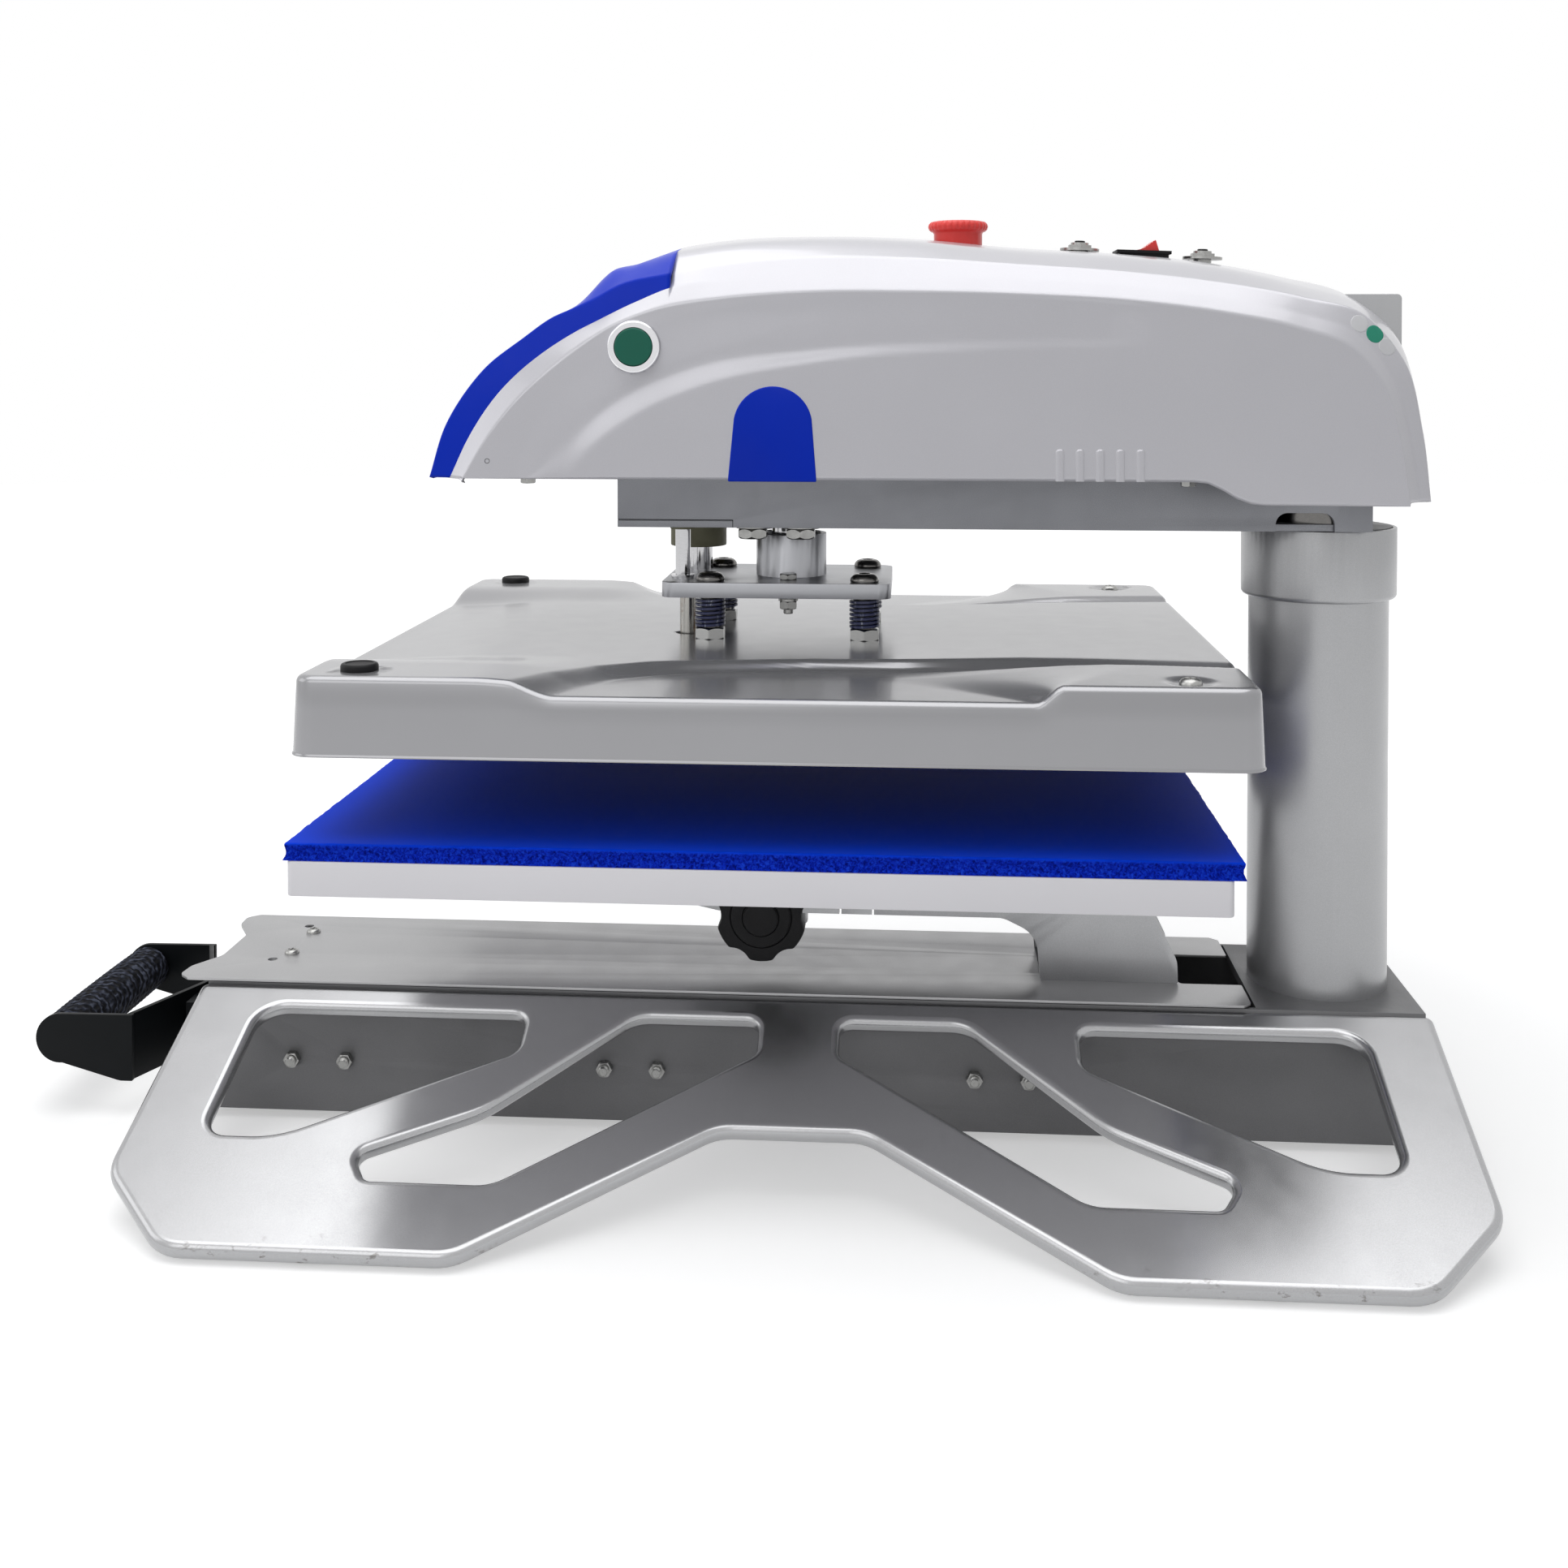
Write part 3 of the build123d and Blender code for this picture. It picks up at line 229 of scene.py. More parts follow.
# Colour, roughness and the settings of paint() that differ from its usual ones
PAINTS = {
    "silver_paint": ((0.40, 0.403, 0.412), 0.34, dict(
        metal=0.65, coat=0.15, coat_rough=0.2, vary=0.02, flake=0.3, peel=0.03, peel_scale=700,
        rough_vary=0.02, worn=True)),
    "wing_paint": ((0.40, 0.402, 0.41), 0.25, dict(
        metal=0.85, coat=0.1, coat_rough=0.2, vary=0.02, flake=0.3, peel=0.02, peel_scale=700,
        rough_vary=0.02, worn=True)),
    # The beam's silver paint made darker: painted shade under the head
    "shaded_beam_paint": ((0.26, 0.265, 0.285), 0.4, dict(
        metal=0.5, vary_scale=40, flake=0.5, peel=0.06, peel_scale=900, rough_vary=0.03, specular=0.3)),
    # Darker copy of the silver paint: painted shade on the channel's walls; on the column bearings it is
    # their dark greasy metal
    "shaded_and_greasy_steel": ((0.176, 0.176, 0.181), 0.42, dict(
        metal=0.4, vary=0.08, vary_scale=30, flake=0.3, peel=0.05, peel_scale=600, specular=0.3)),
    "deck_steel": ((0.40, 0.40, 0.405), 0.36, dict(
        metal=0.75, vary=0.03, vary_scale=30, flake=0.3, peel=0.03, peel_scale=600, rough_vary=0.03)),
    "flange_steel": ((0.38, 0.385, 0.405), 0.33, dict(
        metal=1.0, vary=0.03, vary_scale=60, peel=0.003, peel_scale=300, rough_vary=0.02)),
    "cast_silver": ((0.325, 0.325, 0.338), 0.25, dict(
        metal=0.65, coat=0.25, vary=0.01, peel=0.004, peel_scale=90, rough_vary=0.01)),
    "pearl_plastic": ((0.535, 0.53, 0.565), 0.3, dict(
        metal=0.3, coat=0.5, coat_rough=0.07, vary=0.012, flake=0.1, peel=0.01, peel_scale=200,
        rough_vary=0.02)),
    "blue_plastic": ((0.001, 0.030, 0.56), 0.36, dict(
        coat=0.06, coat_rough=0.15, vary=0.03, peel=0.02, peel_scale=300, specular=0.1)),
    "red_plastic": ((0.86, 0.055, 0.048), 0.32, dict(
        coat=0.2, coat_rough=0.15, vary=0.03, peel=0.03, specular=0.3)),
    "green_plastic": ((0.0, 0.125, 0.078), 0.35, dict(coat=0.15, vary=0.03, peel=0.02, specular=0.25)),
    "white_plate": ((0.95, 0.935, 0.97), 0.55, dict(vary=0.012, peel=0.05, peel_scale=250, specular=0.35)),
    "black_rubber": ((0.014, 0.014, 0.015), 0.75, dict(vary=0.2, peel=0.3, peel_scale=900, specular=0.25)),
    "black_paint": ((0.004, 0.005, 0.006), 0.42, dict(vary=0.15, peel=0.05, specular=0.12)),
    "black_plastic": ((0.009, 0.009, 0.010), 0.5, dict(vary=0.15, peel=0.2, peel_scale=1400, specular=0.16)),
    "button_black": ((0.010, 0.010, 0.011), 0.4, dict(vary=0.15, peel=0.15, peel_scale=1200, specular=0.25)),
    "panel_film": ((0.012, 0.012, 0.015), 0.3, dict(vary=0.1, peel=0.03, specular=0.3)),
    "display_film": ((0.004, 0.006, 0.007), 0.1, dict(coat=0.4, coat_rough=0.04, vary=0.1)),
    "nonstick_coating": ((0.014, 0.014, 0.016), 0.4, dict(vary=0.1, peel=0.1, peel_scale=300, specular=0.4)),
    "drive_metal": ((0.03, 0.03, 0.032), 0.5, dict(metal=0.3, vary=0.2, peel=0.2)),
    "bush_polymer": ((0.33, 0.32, 0.21), 0.5, dict(vary=0.1, vary_scale=90, peel=0.2, specular=0.3)),
    "board_fibre": ((0.42, 0.38, 0.28), 0.9, dict(vary=0.25, vary_scale=200, peel=0.5)),
    "sticker_white": ((0.74, 0.74, 0.76), 0.5, dict(vary=0.02, specular=0.3)),
    "sticker_green": ((0.03, 0.29, 0.19), 0.5, dict(vary=0.04, specular=0.3)),
    "shadow_gap": ((0.05, 0.05, 0.055), 0.8, dict(vary=0.1, specular=0.1)),
}
# Colour, roughness, depth of the grain, colour drift and the settings of metal_sheet() that differ
METALS = {
    "sheet_steel": ((0.50, 0.50, 0.505), 0.2, 0.02, 0.02, dict(grain=(1, 0.05, 1))),
    "zinc_steel": ((0.36, 0.36, 0.35), 0.3, 0.01, 0.04, {}),
    "platen_hex": ((0.46, 0.46, 0.45), 0.22, 0.008, 0.03, {}),
    "dark_steel": ((0.15, 0.145, 0.14), 0.18, 0.04, 0.06, dict(anisotropic=0.2)),
    "button_metal": ((0.70, 0.70, 0.72), 0.2, 0.02, 0.02, dict(scale=200)),
    "polished_rod": ((0.50, 0.50, 0.51), 0.1, 0.006, 0.02, dict(grain=(1, 1, 8), scale=220)),
}


def spring_material():
    """Dark blue spring paint with fine pale streaks, long in the up direction."""
    tree = Tree("spring_blue", Metallic=0.2, Coat_Weight=0.4, Coat_Roughness=0.15)
    pale_streaks = tree.spread(tree.noise(420.0, 4.0, (1, 1, 0.25), 0.7), 0.58, 0.68)
    tree.feed("Base Color", tree.mix(pale_streaks, (0.006, 0.012, 0.075), (0.35, 0.38, 0.46)))
    tree.feed("Roughness", tree.spread(pale_streaks, 0, 1, 0.3, 0.5))
    tree.bump(tree.noise(700.0, 3.0), 0.2, 0.0003)
    return tree.material


def stained_material():
    """Plated tube with brown stains that run down it."""
    tree = Tree("stained_tube", Metallic=0.9)
    runs = tree.noise(160.0, 4.0, (1, 1, 0.12), 0.6)
    spots = tree.noise(420.0, 3.0)
    stain = tree.math("MULTIPLY", tree.spread(runs, 0.52, 0.66), tree.spread(spots, 0.3, 0.6))
    tree.feed("Base Color", tree.mix(stain, (0.50, 0.49, 0.46), (0.20, 0.11, 0.05)))
    tree.feed("Roughness", tree.spread(stain, 0, 1, 0.25, 0.6))
    tree.bump(spots, 0.05, 0.0002)
    return tree.material


def foam_material():
    """Black foam with a slanting bark-like weave."""
    tree = Tree("grip_foam", Specular_IOR_Level=0.12)
    cells = tree.texture("TexVoronoi", (0.45, 1, 1), Scale=260.0).outputs["Distance"]
    weave = tree.texture("TexWave", Scale=95.0, Distortion=6.0, Detail=3.0, Detail_Scale=1.5)
    weave.bands_direction = "DIAGONAL"
    mixed = tree.math("MULTIPLY", tree.spread(cells, 0.1, 0.7), weave.outputs["Fac"])
    # Raised strands are painted lighter grey-blue and pits near black: partly the foam's own grey-blue,
    # partly painted highlight and painted shade
    tree.feed("Base Color", tree.ramp(mixed, [
        (0.0, (0.001, 0.001, 0.002)), (0.35, (0.010, 0.012, 0.020)), (1.0, (0.085, 0.095, 0.13))]))
    tree.feed("Roughness", tree.spread(cells, 0.0, 1.0, 0.65, 0.9))
    tree.bump(mixed, 0.7, 0.0012)
    return tree.material


def silicone_material():
    """Satin skin on top; the cut edge is open sponge. Height decides which one shows."""
    tree = Tree("blue_silicone", Specular_IOR_Level=0.05)
    top = tree.spread(tree.height(), 0.2096, 0.2108)
    pores = tree.noise(620.0, 3.0, (1, 1, 1), 0.6, 0.8)
    skin = tree.spread(tree.noise(12.0, 4.0), 0.3, 0.7)
    # Pits of the pore pattern are painted dark blue: painted shade in the sponge's pores; the lighter blue is
    # its own colour
    edge_color = tree.ramp(pores, [
        (0.35, (0.0, 0.006, 0.22)), (0.5, (0.003, 0.026, 0.62)), (0.68, (0.012, 0.075, 0.85))])
    skin_color = tree.mix(skin, (0.002, 0.058, 0.88), (0.002, 0.064, 0.95))
    tree.feed("Base Color", tree.mix(top, edge_color, skin_color))
    tree.feed("Roughness", tree.spread(top, 0, 1, 0.75, 0.55))
    tree.bump(tree.math("MULTIPLY", pores, tree.spread(top, 0, 1, 1.0, 0.03)), 0.9, 0.0018)
    return tree.material


def make_materials():
    made = {name: paint(name, color, rough, **more) for name, (color, rough, more) in PAINTS.items()}
    made.update({name: metal_sheet(name, *row, **more) for name, (*row, more) in METALS.items()})
    made.update(spring_blue=spring_material(), stained_tube=stained_material(), grip_foam=foam_material(),
                blue_silicone=silicone_material())
    return made


# Nodes whose finish differs a little from their slot's usual one; the beam's and the channel's are darker
# copies of the silver paint, as painted shade
FINISHES = {
    "cable_tube": "stained_tube", "wing_right": "wing_paint", "wing_left": "wing_paint",
    "arm_beam": "shaded_beam_paint", "base_channel": "shaded_and_greasy_steel", "column_bearings": "shaded_and_greasy_steel",
    "drawer_deck": "deck_steel", "flange_plate": "flange_steel",
}
# Width of the edge that is taken off a visible node
SOFT_EDGES = {
    "arm_beam": 0.8, "column_collar": 0.5, "flange_plate": 0.6, "lower_platen": 1.0, "terminal_box": 0.4,
    "side_inserts": 0.9, "platen_arm": 0.4, "base_channel": 0.4, "drawer_deck": 0.25, "handle_frame": 0.6,
    "rocker_frame": 0.3, "guide_bushes": 0.6, "platen_post": 0.5, "heating_platen": 0.4,
}
SLOT_OF = {s["node"]: s["material_slot"] for s in frame["record"]["subparts"]}
materials = make_materials()


def dress_nodes():
    """Every CAD node gets its finish, smooth shading and, where it shows, softened edges."""
    for name, node in nodes.items():
        mesh = node.data
        mesh.materials.clear()
        mesh.materials.append(materials[FINISHES.get(name, SLOT_OF[name])])
        mesh.shade_smooth()
        mesh.set_sharp_from_angle(angle=radians(32))
        if name in SOFT_EDGES:
            soften(node, SOFT_EDGES[name])


def soften(node, width):
    """Joins the mesh's faces, clears flat runs of splinters and bevels what is left."""
    node.modifiers.new("weld", "WELD").merge_threshold = 0.000002
    flat = node.modifiers.new("flat", "DECIMATE")
    flat.decimate_type = "DISSOLVE"
    flat.angle_limit = radians(0.3)
    edge = node.modifiers.new("edge", "BEVEL")
    edge.width = width * MM
    edge.segments = 3
    edge.limit_method = "ANGLE"
    edge.angle_limit = radians(40)
    edge.use_clamp_overlap = True
    edge.harden_normals = True


# Mesh helpers
def dressed(name, mesh, body, slot, sharp, material=None):
    """Object of a mesh: shaded, with its material, on its body."""
    mesh.shade_smooth()
    mesh.set_sharp_from_angle(angle=radians(sharp))
    mesh.materials.append(material or materials[slot])
    piece = link(name, mesh)
    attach(piece, body)
    return piece


def new_piece(name, verts, faces, body, slot, sharp=38.0, material=None):
    mesh = bpy.data.meshes.new(name)
    mesh.from_pydata([tuple(c * MM for c in v) for v in verts], [], [tuple(f) for f in faces])
    mesh.validate()
    return dressed(name, mesh, body, slot, sharp, material)


def grid_faces(rows, columns, wrap=False, start=0):
    """Quads of a rows x columns grid of points, stored row by row."""
    faces = []
    for r in range(rows - 1):
        for c in range(columns if wrap else columns - 1):
            d = (c + 1) % columns
            faces.append((start + r * columns + c, start + r * columns + d,
                          start + (r + 1) * columns + d, start + (r + 1) * columns + c))
    return faces


@contextmanager
def edited(piece):
    """Opens a piece's mesh for editing and writes it back."""
    bm = bmesh.new()
    bm.from_mesh(piece.data)
    yield bm
    bm.to_mesh(piece.data)
    bm.free()


def solidify(piece, thickness, offset=-1.0):
    mod = piece.modifiers.new("thickness", "SOLIDIFY")
    mod.thickness = thickness * MM
    mod.offset = offset
    mod.use_quality_normals = True


def smooth_step(value, low, high):
    t = np.clip((value - low) / (high - low), 0, 1)
    return t * t * (3 - 2 * t)


def hermite(t, first, last, start, end):
    """Cubic from first to last; start and end are its slopes there, times the span."""
    return ((2 * t ** 3 - 3 * t ** 2 + 1) * first + (t ** 3 - 2 * t ** 2 + t) * start
            + (3 * t ** 2 - 2 * t ** 3) * last + (t ** 3 - t ** 2) * end)


def spline(knots, values, at):
    """Hermite spline through values (one row for each knot) at the places given."""
    knots, values, at = np.asarray(knots, float), np.asarray(values, float), np.asarray(at, float)
    step = np.diff(knots)
    slope = np.diff(values, axis=0) / step[:, None]
    tangent = np.empty_like(values)
    tangent[1:-1] = ((step[1:, None] * slope[:-1] + step[:-1, None] * slope[1:])
                     / (step[1:] + step[:-1])[:, None])
    tangent[0], tangent[-1] = slope[0], slope[-1]
    k = np.clip(np.searchsorted(knots, at, side="right") - 1, 0, len(knots) - 2)
    t = ((at - knots[k]) / step[k])[:, None]
    h = step[k][:, None]
    return hermite(t, values[k], values[k + 1], h * tangent[k], h * tangent[k + 1])


def along(points, at):
    """Second coordinate of a polyline at a place along its first, smoothly joined."""
    table = np.array(points, float)
    return spline(table[:, 0], table[:, 1:2], np.clip(at, table[0, 0], table[-1, 0]))[:, 0]


def rounded(points, radii):
    """3-D polyline with its inner corners replaced by short curves."""
    points = [np.asarray(p, float) for p in points]
    out = [points[0]]
    for before, here, after, radius in zip(points, points[1:], points[2:], radii):
        back, on = before - here, after - here
        far_back, far_on = np.linalg.norm(back), np.linalg.norm(on)
        start = here + back / (far_back + 1e-9) * min(radius, 0.45 * far_back)
        end = here + on / (far_on + 1e-9) * min(radius, 0.45 * far_on)
        out += [(1 - t) ** 2 * start + 2 * t * (1 - t) * here + t * t * end for t in (0, 0.25, 0.5, 0.75, 1)]
    return out + [points[-1]]


# Head shell. Each row: Y, Z of the side wall's crease, of the chamfer's inner edge, of the shoulder
# and of the top's flank, from the lower front edge round to the lower rear edge.
HEAD_ROWS = np.array([
    ((-179, 397), (-188, 397), (-201, 397), (-203, 397)),
    ((-165.1, 419.9), (-176, 422), (-191, 428), (-193, 428)),
    ((-146, 443.5), (-159, 446.5), (-170.5, 458), (-172.6, 457.6)),
    ((-122.2, 464.7), (-136, 467.5), (-145, 478.5), (-148.7, 476.4)),
    ((-110, 473.8), (-122, 477), (-128.5, 490), (-126, 493)),
    ((-101, 480), (-112, 482.8), (-117, 495), (-115.2, 500)),
    ((-93, 485), (-102, 487.8), (-105.5, 500), (-103.3, 514.3)),
    ((-70.1, 494.1), (-78, 499.3), (-82, 511.2), (-82.3, 523)),
    ((-58.8, 497), (-58.8, 507), (-58.8, 515.6), (-58.8, 530.4)),
    ((-29, 501.5), (-29, 510.5), (-29, 520.5), (-29.2, 534.8)),
    ((20, 505), (20, 513.5), (20, 524.5), (20, 537.3)),
    ((80, 505), (80, 513.5), (80, 524), (80, 535.8)),
    ((138.9, 503.4), (139, 511.5), (139, 520.5), (139, 530.4)),
    ((207, 499.1), (207, 507), (207, 515.5), (207, 525.9)),
    ((252, 493), (252.5, 501), (253, 510), (254, 520.7)),
    ((297, 483.4), (299, 491.5), (301, 501), (303, 509.8)),
    ((323.7, 473.8), (328, 481.5), (333, 491.5), (337.5, 499.5)),
    ((341.4, 453.4), (348, 457), (356, 464), (361.2, 477.3)),
    ((351.2, 421.7), (358, 423), (366, 426), (371.7, 429.6)),
    ((356.9, 386), (364, 386), (371, 386), (375.4, 386)),
])
SEAM, LAST_ROW = 8, 19     # rows where the blue front and the shell end
WALL_X, CHAMFER_X, FRONT_SHOULDER_X, TOP_SHOULDER_X, FLANK_X = 102.0, 95.0, 92.5, 86.0, 58.0
# How far the middle stands above the flank, at each row
CROWNS = np.array([2.2, 2.2, 2.2, 2.2, 2.2, 2.2, 2.6, 4.0, 5.6, 5.4,
                   4.6, 4.5, 4.4, 4.5, 5.1, 6.7, 7.5, 5.0, 3.0, 2.2])
SHELL_SKIN = 2.6
BOTTOM_LINE = [(-400, 397), (238, 397), (246, 396.2), (254, 392.5), (262, 387.6), (270, 384.7), (278, 384),
               (420, 384)]
SWOOSH_TOP = [(-140, 397), (-126.9, 413), (-89, 443.6), (-46.5, 461.4), (23.6, 470.7), (116, 475.3),
              (220.7, 477.1)]
SWOOSH_LOW = [(-118, 397), (-100, 416), (-74.8, 434.3), (-41.8, 449.3), (23.6, 464.2), (116, 471.6),
              (220.7, 474.3)]
WALL_ROWS = 44
WALL_LIP = 1.6             # the flat wall ends this far below the crease
ESTOP_Y = 145
SIDEWAYS, UP = (1, 0, 0), (0, 0, 1)
# Middle, radius, axis and reach of the holes for start buttons, emergency stop and breakers
HEAD_HOLES = (
    ((WALL_X, -42.5, 473), 12.6, SIDEWAYS, 20), ((-WALL_X, -42.5, 473), 12.6, SIDEWAYS, 20),
    ((0, ESTOP_Y, 538), 16.2, UP, 30), ((0, 220, 532.9), 5.3, UP, 25), ((0, 295, 527.4), 5.3, UP, 25),
)
ROCKER_WINDOW = ((-11.4, 11.4), (243.5, 272.5), (510, 550))
KNOTS = np.concatenate(([0.0], np.cumsum(np.hypot(*np.diff(HEAD_ROWS[:, 0:2].mean(axis=1), axis=0).T))))
FRONT_LENGTH = KNOTS[SEAM] - KNOTS[0]


def places_between(first, last, step):
    count = int((KNOTS[last] - KNOTS[first]) / step) + 1
    return np.linspace(KNOTS[first], KNOTS[last], count)


def head_curves(first, last, at):
    """The four outlines between two rows, at places along the knots."""
    rows = HEAD_ROWS[first:last + 1]
    return spline(KNOTS[first:last + 1], rows.reshape(len(rows), 8), at).reshape(len(at), 4, 2)


def crown_of(flank, places):
    """Middle line: the flank line moved outwards along its own normal."""
    step = np.gradient(flank, axis=0)
    size = np.hypot(step[:, 0], step[:, 1])[:, None] + 1e-9
    normal = np.column_stack((-step[:, 1], step[:, 0])) / size
    return flank + spline(KNOTS, CROWNS[:, None], places) * normal


def across(shoulder_x, shoulder, flank, crown, xs):
    """Points over the top at the given X values, between the two shoulders."""
    x = np.abs(xs)
    span = shoulder_x - FLANK_X
    points = np.empty((len(xs), 2))
    for axis in (0, 1):
        a, b, c = shoulder[axis], flank[axis], crown[axis]
        outer = (a - b) / span
        inner = (b - c) / FLANK_X
        middle = 0.0 if outer * inner <= 0 else 2 * outer * inner / (outer + inner)
        start = 1.4 * outer - 0.4 * middle
        low = hermite(np.clip(x / FLANK_X, 0, 1), c, b, 0.0, FLANK_X * middle)
        high = hermite(np.clip((x - FLANK_X) / span, 0, 1), b, a, span * middle, span * start)
        points[:, axis] = np.where(x <= FLANK_X, low, high)
    return points


def over_top(shoulder_x, shoulder, flank, crown, outer, inner):
    """Run from just inside the shoulder to the middle; outer and inner give its first step and its count."""
    xs = np.concatenate((np.linspace(shoulder_x - outer[0], FLANK_X, outer[1]),
                         np.linspace(FLANK_X - inner[0], 0, inner[1])))
    return [np.array((x, *p)) for x, p in zip(xs, across(shoulder_x, shoulder, flank, crown, xs))]


def swoosh_depth(y, z):
    """How far the side wall is pressed in above the swoosh line."""
    top, low = along(SWOOSH_TOP, y), along(SWOOSH_LOW, y)
    depth = 2.6 * smooth_step(y, -150, -95) * (1 - 0.75 * smooth_step(y, -20, 170))
    depth = depth * (1 - smooth_step(y, 185, 221))
    fade = 1 - smooth_step(z, top + 4, top + 30)
    return depth * smooth_step(z, low, np.maximum(top, low + 0.5)) * fade


def wall_columns(crease):
    """Points of the side wall below the crease: one row of points for each place, bottom first."""
    bottom = np.interp(crease[:, 0], *np.array(BOTTOM_LINE, float).T)
    top = np.maximum(crease[:, 1] - WALL_LIP, bottom + 0.02)
    z = bottom[:, None] + (top - bottom)[:, None] * np.linspace(0, 1, WALL_ROWS)[None, :]
    y = np.repeat(crease[:, 0:1], WALL_ROWS, axis=1)
    x = WALL_X - swoosh_depth(y.ravel(), z.ravel()).reshape(y.shape)
    return np.stack((x, y, z), axis=2)


def wall_top(crease, chamfer):
    """Wall under the crease, crease and chamfer, from which the rounded run over the edge starts."""
    return [(WALL_X, crease[0], crease[1] - 3.0), (WALL_X, *crease), (CHAMFER_X, *chamfer)]


def silver_front_strip(places):
    """Side wall beside the blue front, up to a lip inside the chamfer."""
    curves = head_curves(0, LAST_ROW, places)
    rows = []
    for wall, (crease, chamfer, _, _) in zip(wall_columns(curves[:, 0]), curves):
        inward = chamfer + 0.35 * (chamfer - crease)
        run = rounded(wall_top(crease, chamfer) + [(CHAMFER_X - 3.0, *inward)], (2.2, 1.2))
        rows.append(list(wall) + run[1:])
    return rows


def silver_rear_half(places):
    """Side wall and top behind the seam, from the lower edge to the middle."""
    outer = head_curves(0, LAST_ROW, places)
    top = head_curves(SEAM, LAST_ROW, places)
    crown = crown_of(top[:, 3], places)
    wall = wall_columns(outer[:, 0])
    shoulders = np.interp(places, [KNOTS[14], KNOTS[17]], [TOP_SHOULDER_X, FRONT_SHOULDER_X])
    rows = []
    for k, shoulder_x in enumerate(shoulders):
        over = over_top(shoulder_x, top[k, 2], top[k, 3], crown[k], (2.5, 8), (4, 14))
        points = wall_top(outer[k, 0], outer[k, 1]) + [(shoulder_x, *top[k, 2]), over[0]]
        rows.append(list(wall[k]) + rounded(points, (2.2, 1.8, 2.2))[1:-1] + over)
    return rows


def shell_mesh(name, parts, slot):
    """Half grids that share edges, mirrored to both sides, welded and thickened inwards."""
    bm = bmesh.new()
    for rows in parts:
        for side in (1, -1):
            made = [[bm.verts.new((side * p[0] * MM, (p[1] + PLATEN_Y) * MM, p[2] * MM)) for p in row]
                    for row in rows]
            for a, b in zip(made, made[1:]):
                for k in range(len(a) - 1):
                    quad = (a[k], b[k], b[k + 1], a[k + 1])
                    bm.faces.new(quad if side > 0 else quad[::-1])
    bmesh.ops.remove_doubles(bm, verts=bm.verts, dist=0.00002)
    bmesh.ops.dissolve_degenerate(bm, edges=bm.edges, dist=0.000005)
    mesh = bpy.data.meshes.new(name)
    bm.to_mesh(mesh)
    bm.free()
    piece = dressed(name, mesh, "head", slot, 60.0)
    solidify(piece, SHELL_SKIN)
    return piece


def cut_hole(piece, centre, radius, axis, deep):
    """Opens a round hole in an unthickened shell and moves its edge onto the circle."""
    centre, axis = Vector(centre) * MM, Vector(axis)

    def off_axis(point):
        rel = point - centre
        return rel - rel.dot(axis) * axis, abs(rel.dot(axis))

    with edited(piece) as bm:
        doomed = []
        for face in bm.faces:
            flat, depth = off_axis(face.calc_center_median())
            if flat.length < radius * MM and depth < deep * MM:
                doomed.append(face)
        rim = {v for f in doomed for v in f.verts}
        bmesh.ops.delete(bm, geom=doomed, context="FACES")
        for v in rim:
            if v.is_valid and v.link_faces:
                flat, _ = off_axis(v.co)
                v.co += flat * (radius * MM / flat.length - 1)


def cut_box(piece, *spans):
    """Removes the faces whose middle lies in a box."""
    with edited(piece) as bm:
        doomed = [f for f in bm.faces
                  if all(low < c < high for c, (low, high) in zip(f.calc_center_median() / MM, spans))]
        bmesh.ops.delete(bm, geom=doomed, context="FACES")


def head_shell():
    """Pearl cover with openings for the start buttons, the emergency stop, the breakers and the rocker."""
    front = silver_front_strip(places_between(0, SEAM, 1.9))
    rear = silver_rear_half(places_between(SEAM, LAST_ROW, 2.4))
    shell = shell_mesh("head_shell", [front, rear], "pearl_plastic")
    for hole in HEAD_HOLES:
        cut_hole(shell, *hole)
    cut_box(shell, *ROCKER_WINDOW)
    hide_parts("head_cover")
    return shell


# Blue front and the panel on it
PANEL_SPAN = (0.30, 0.66)  # share of the front, from its foot to the seam, that the panel takes
PANEL_HALF = 70.0
PANEL_CORNER = 8.0
PANEL_DEPTH = 2.0


def front_rows(places):
    curves = head_curves(0, SEAM, places)
    crown = crown_of(curves[:, 3], places)
    rows = []
    for k, (_, chamfer, shoulder, flank) in enumerate(curves):
        foot = chamfer - 0.25 * (shoulder - chamfer)
        over = over_top(FRONT_SHOULDER_X, shoulder, flank, crown[k], (2.2, 11), (3, 20))
        points = [(CHAMFER_X + 0.2, *foot), (CHAMFER_X, *chamfer), (FRONT_SHOULDER_X, *shoulder), over[0]]
        rows.append(rounded(points, (0.5, 1.8))[:-1] + over)
    return rows


def panel_depth(x, share):
    """1 inside the panel's rounded rectangle, 0 outside, with a short slope between."""
    middle, half = sum(PANEL_SPAN) / 2, (PANEL_SPAN[1] - PANEL_SPAN[0]) / 2
    dx = np.abs(x) - PANEL_HALF + PANEL_CORNER
    dy = (np.abs(share - middle) - half) * FRONT_LENGTH + PANEL_CORNER
    outside = np.hypot(np.maximum(dx, 0), np.maximum(dy, 0)) - PANEL_CORNER
    inside = np.minimum(np.maximum(dx, dy), 0)
    return 1 - smooth_step(outside + inside, -2.6, 0.0)


def upward_normals(grid):
    normal = np.cross(np.gradient(grid, axis=0), np.gradient(grid, axis=1))
    normal /= np.linalg.norm(normal, axis=2)[:, :, None] + 1e-9
    return normal * np.sign(normal[:, :, 2:3] + 1e-9)


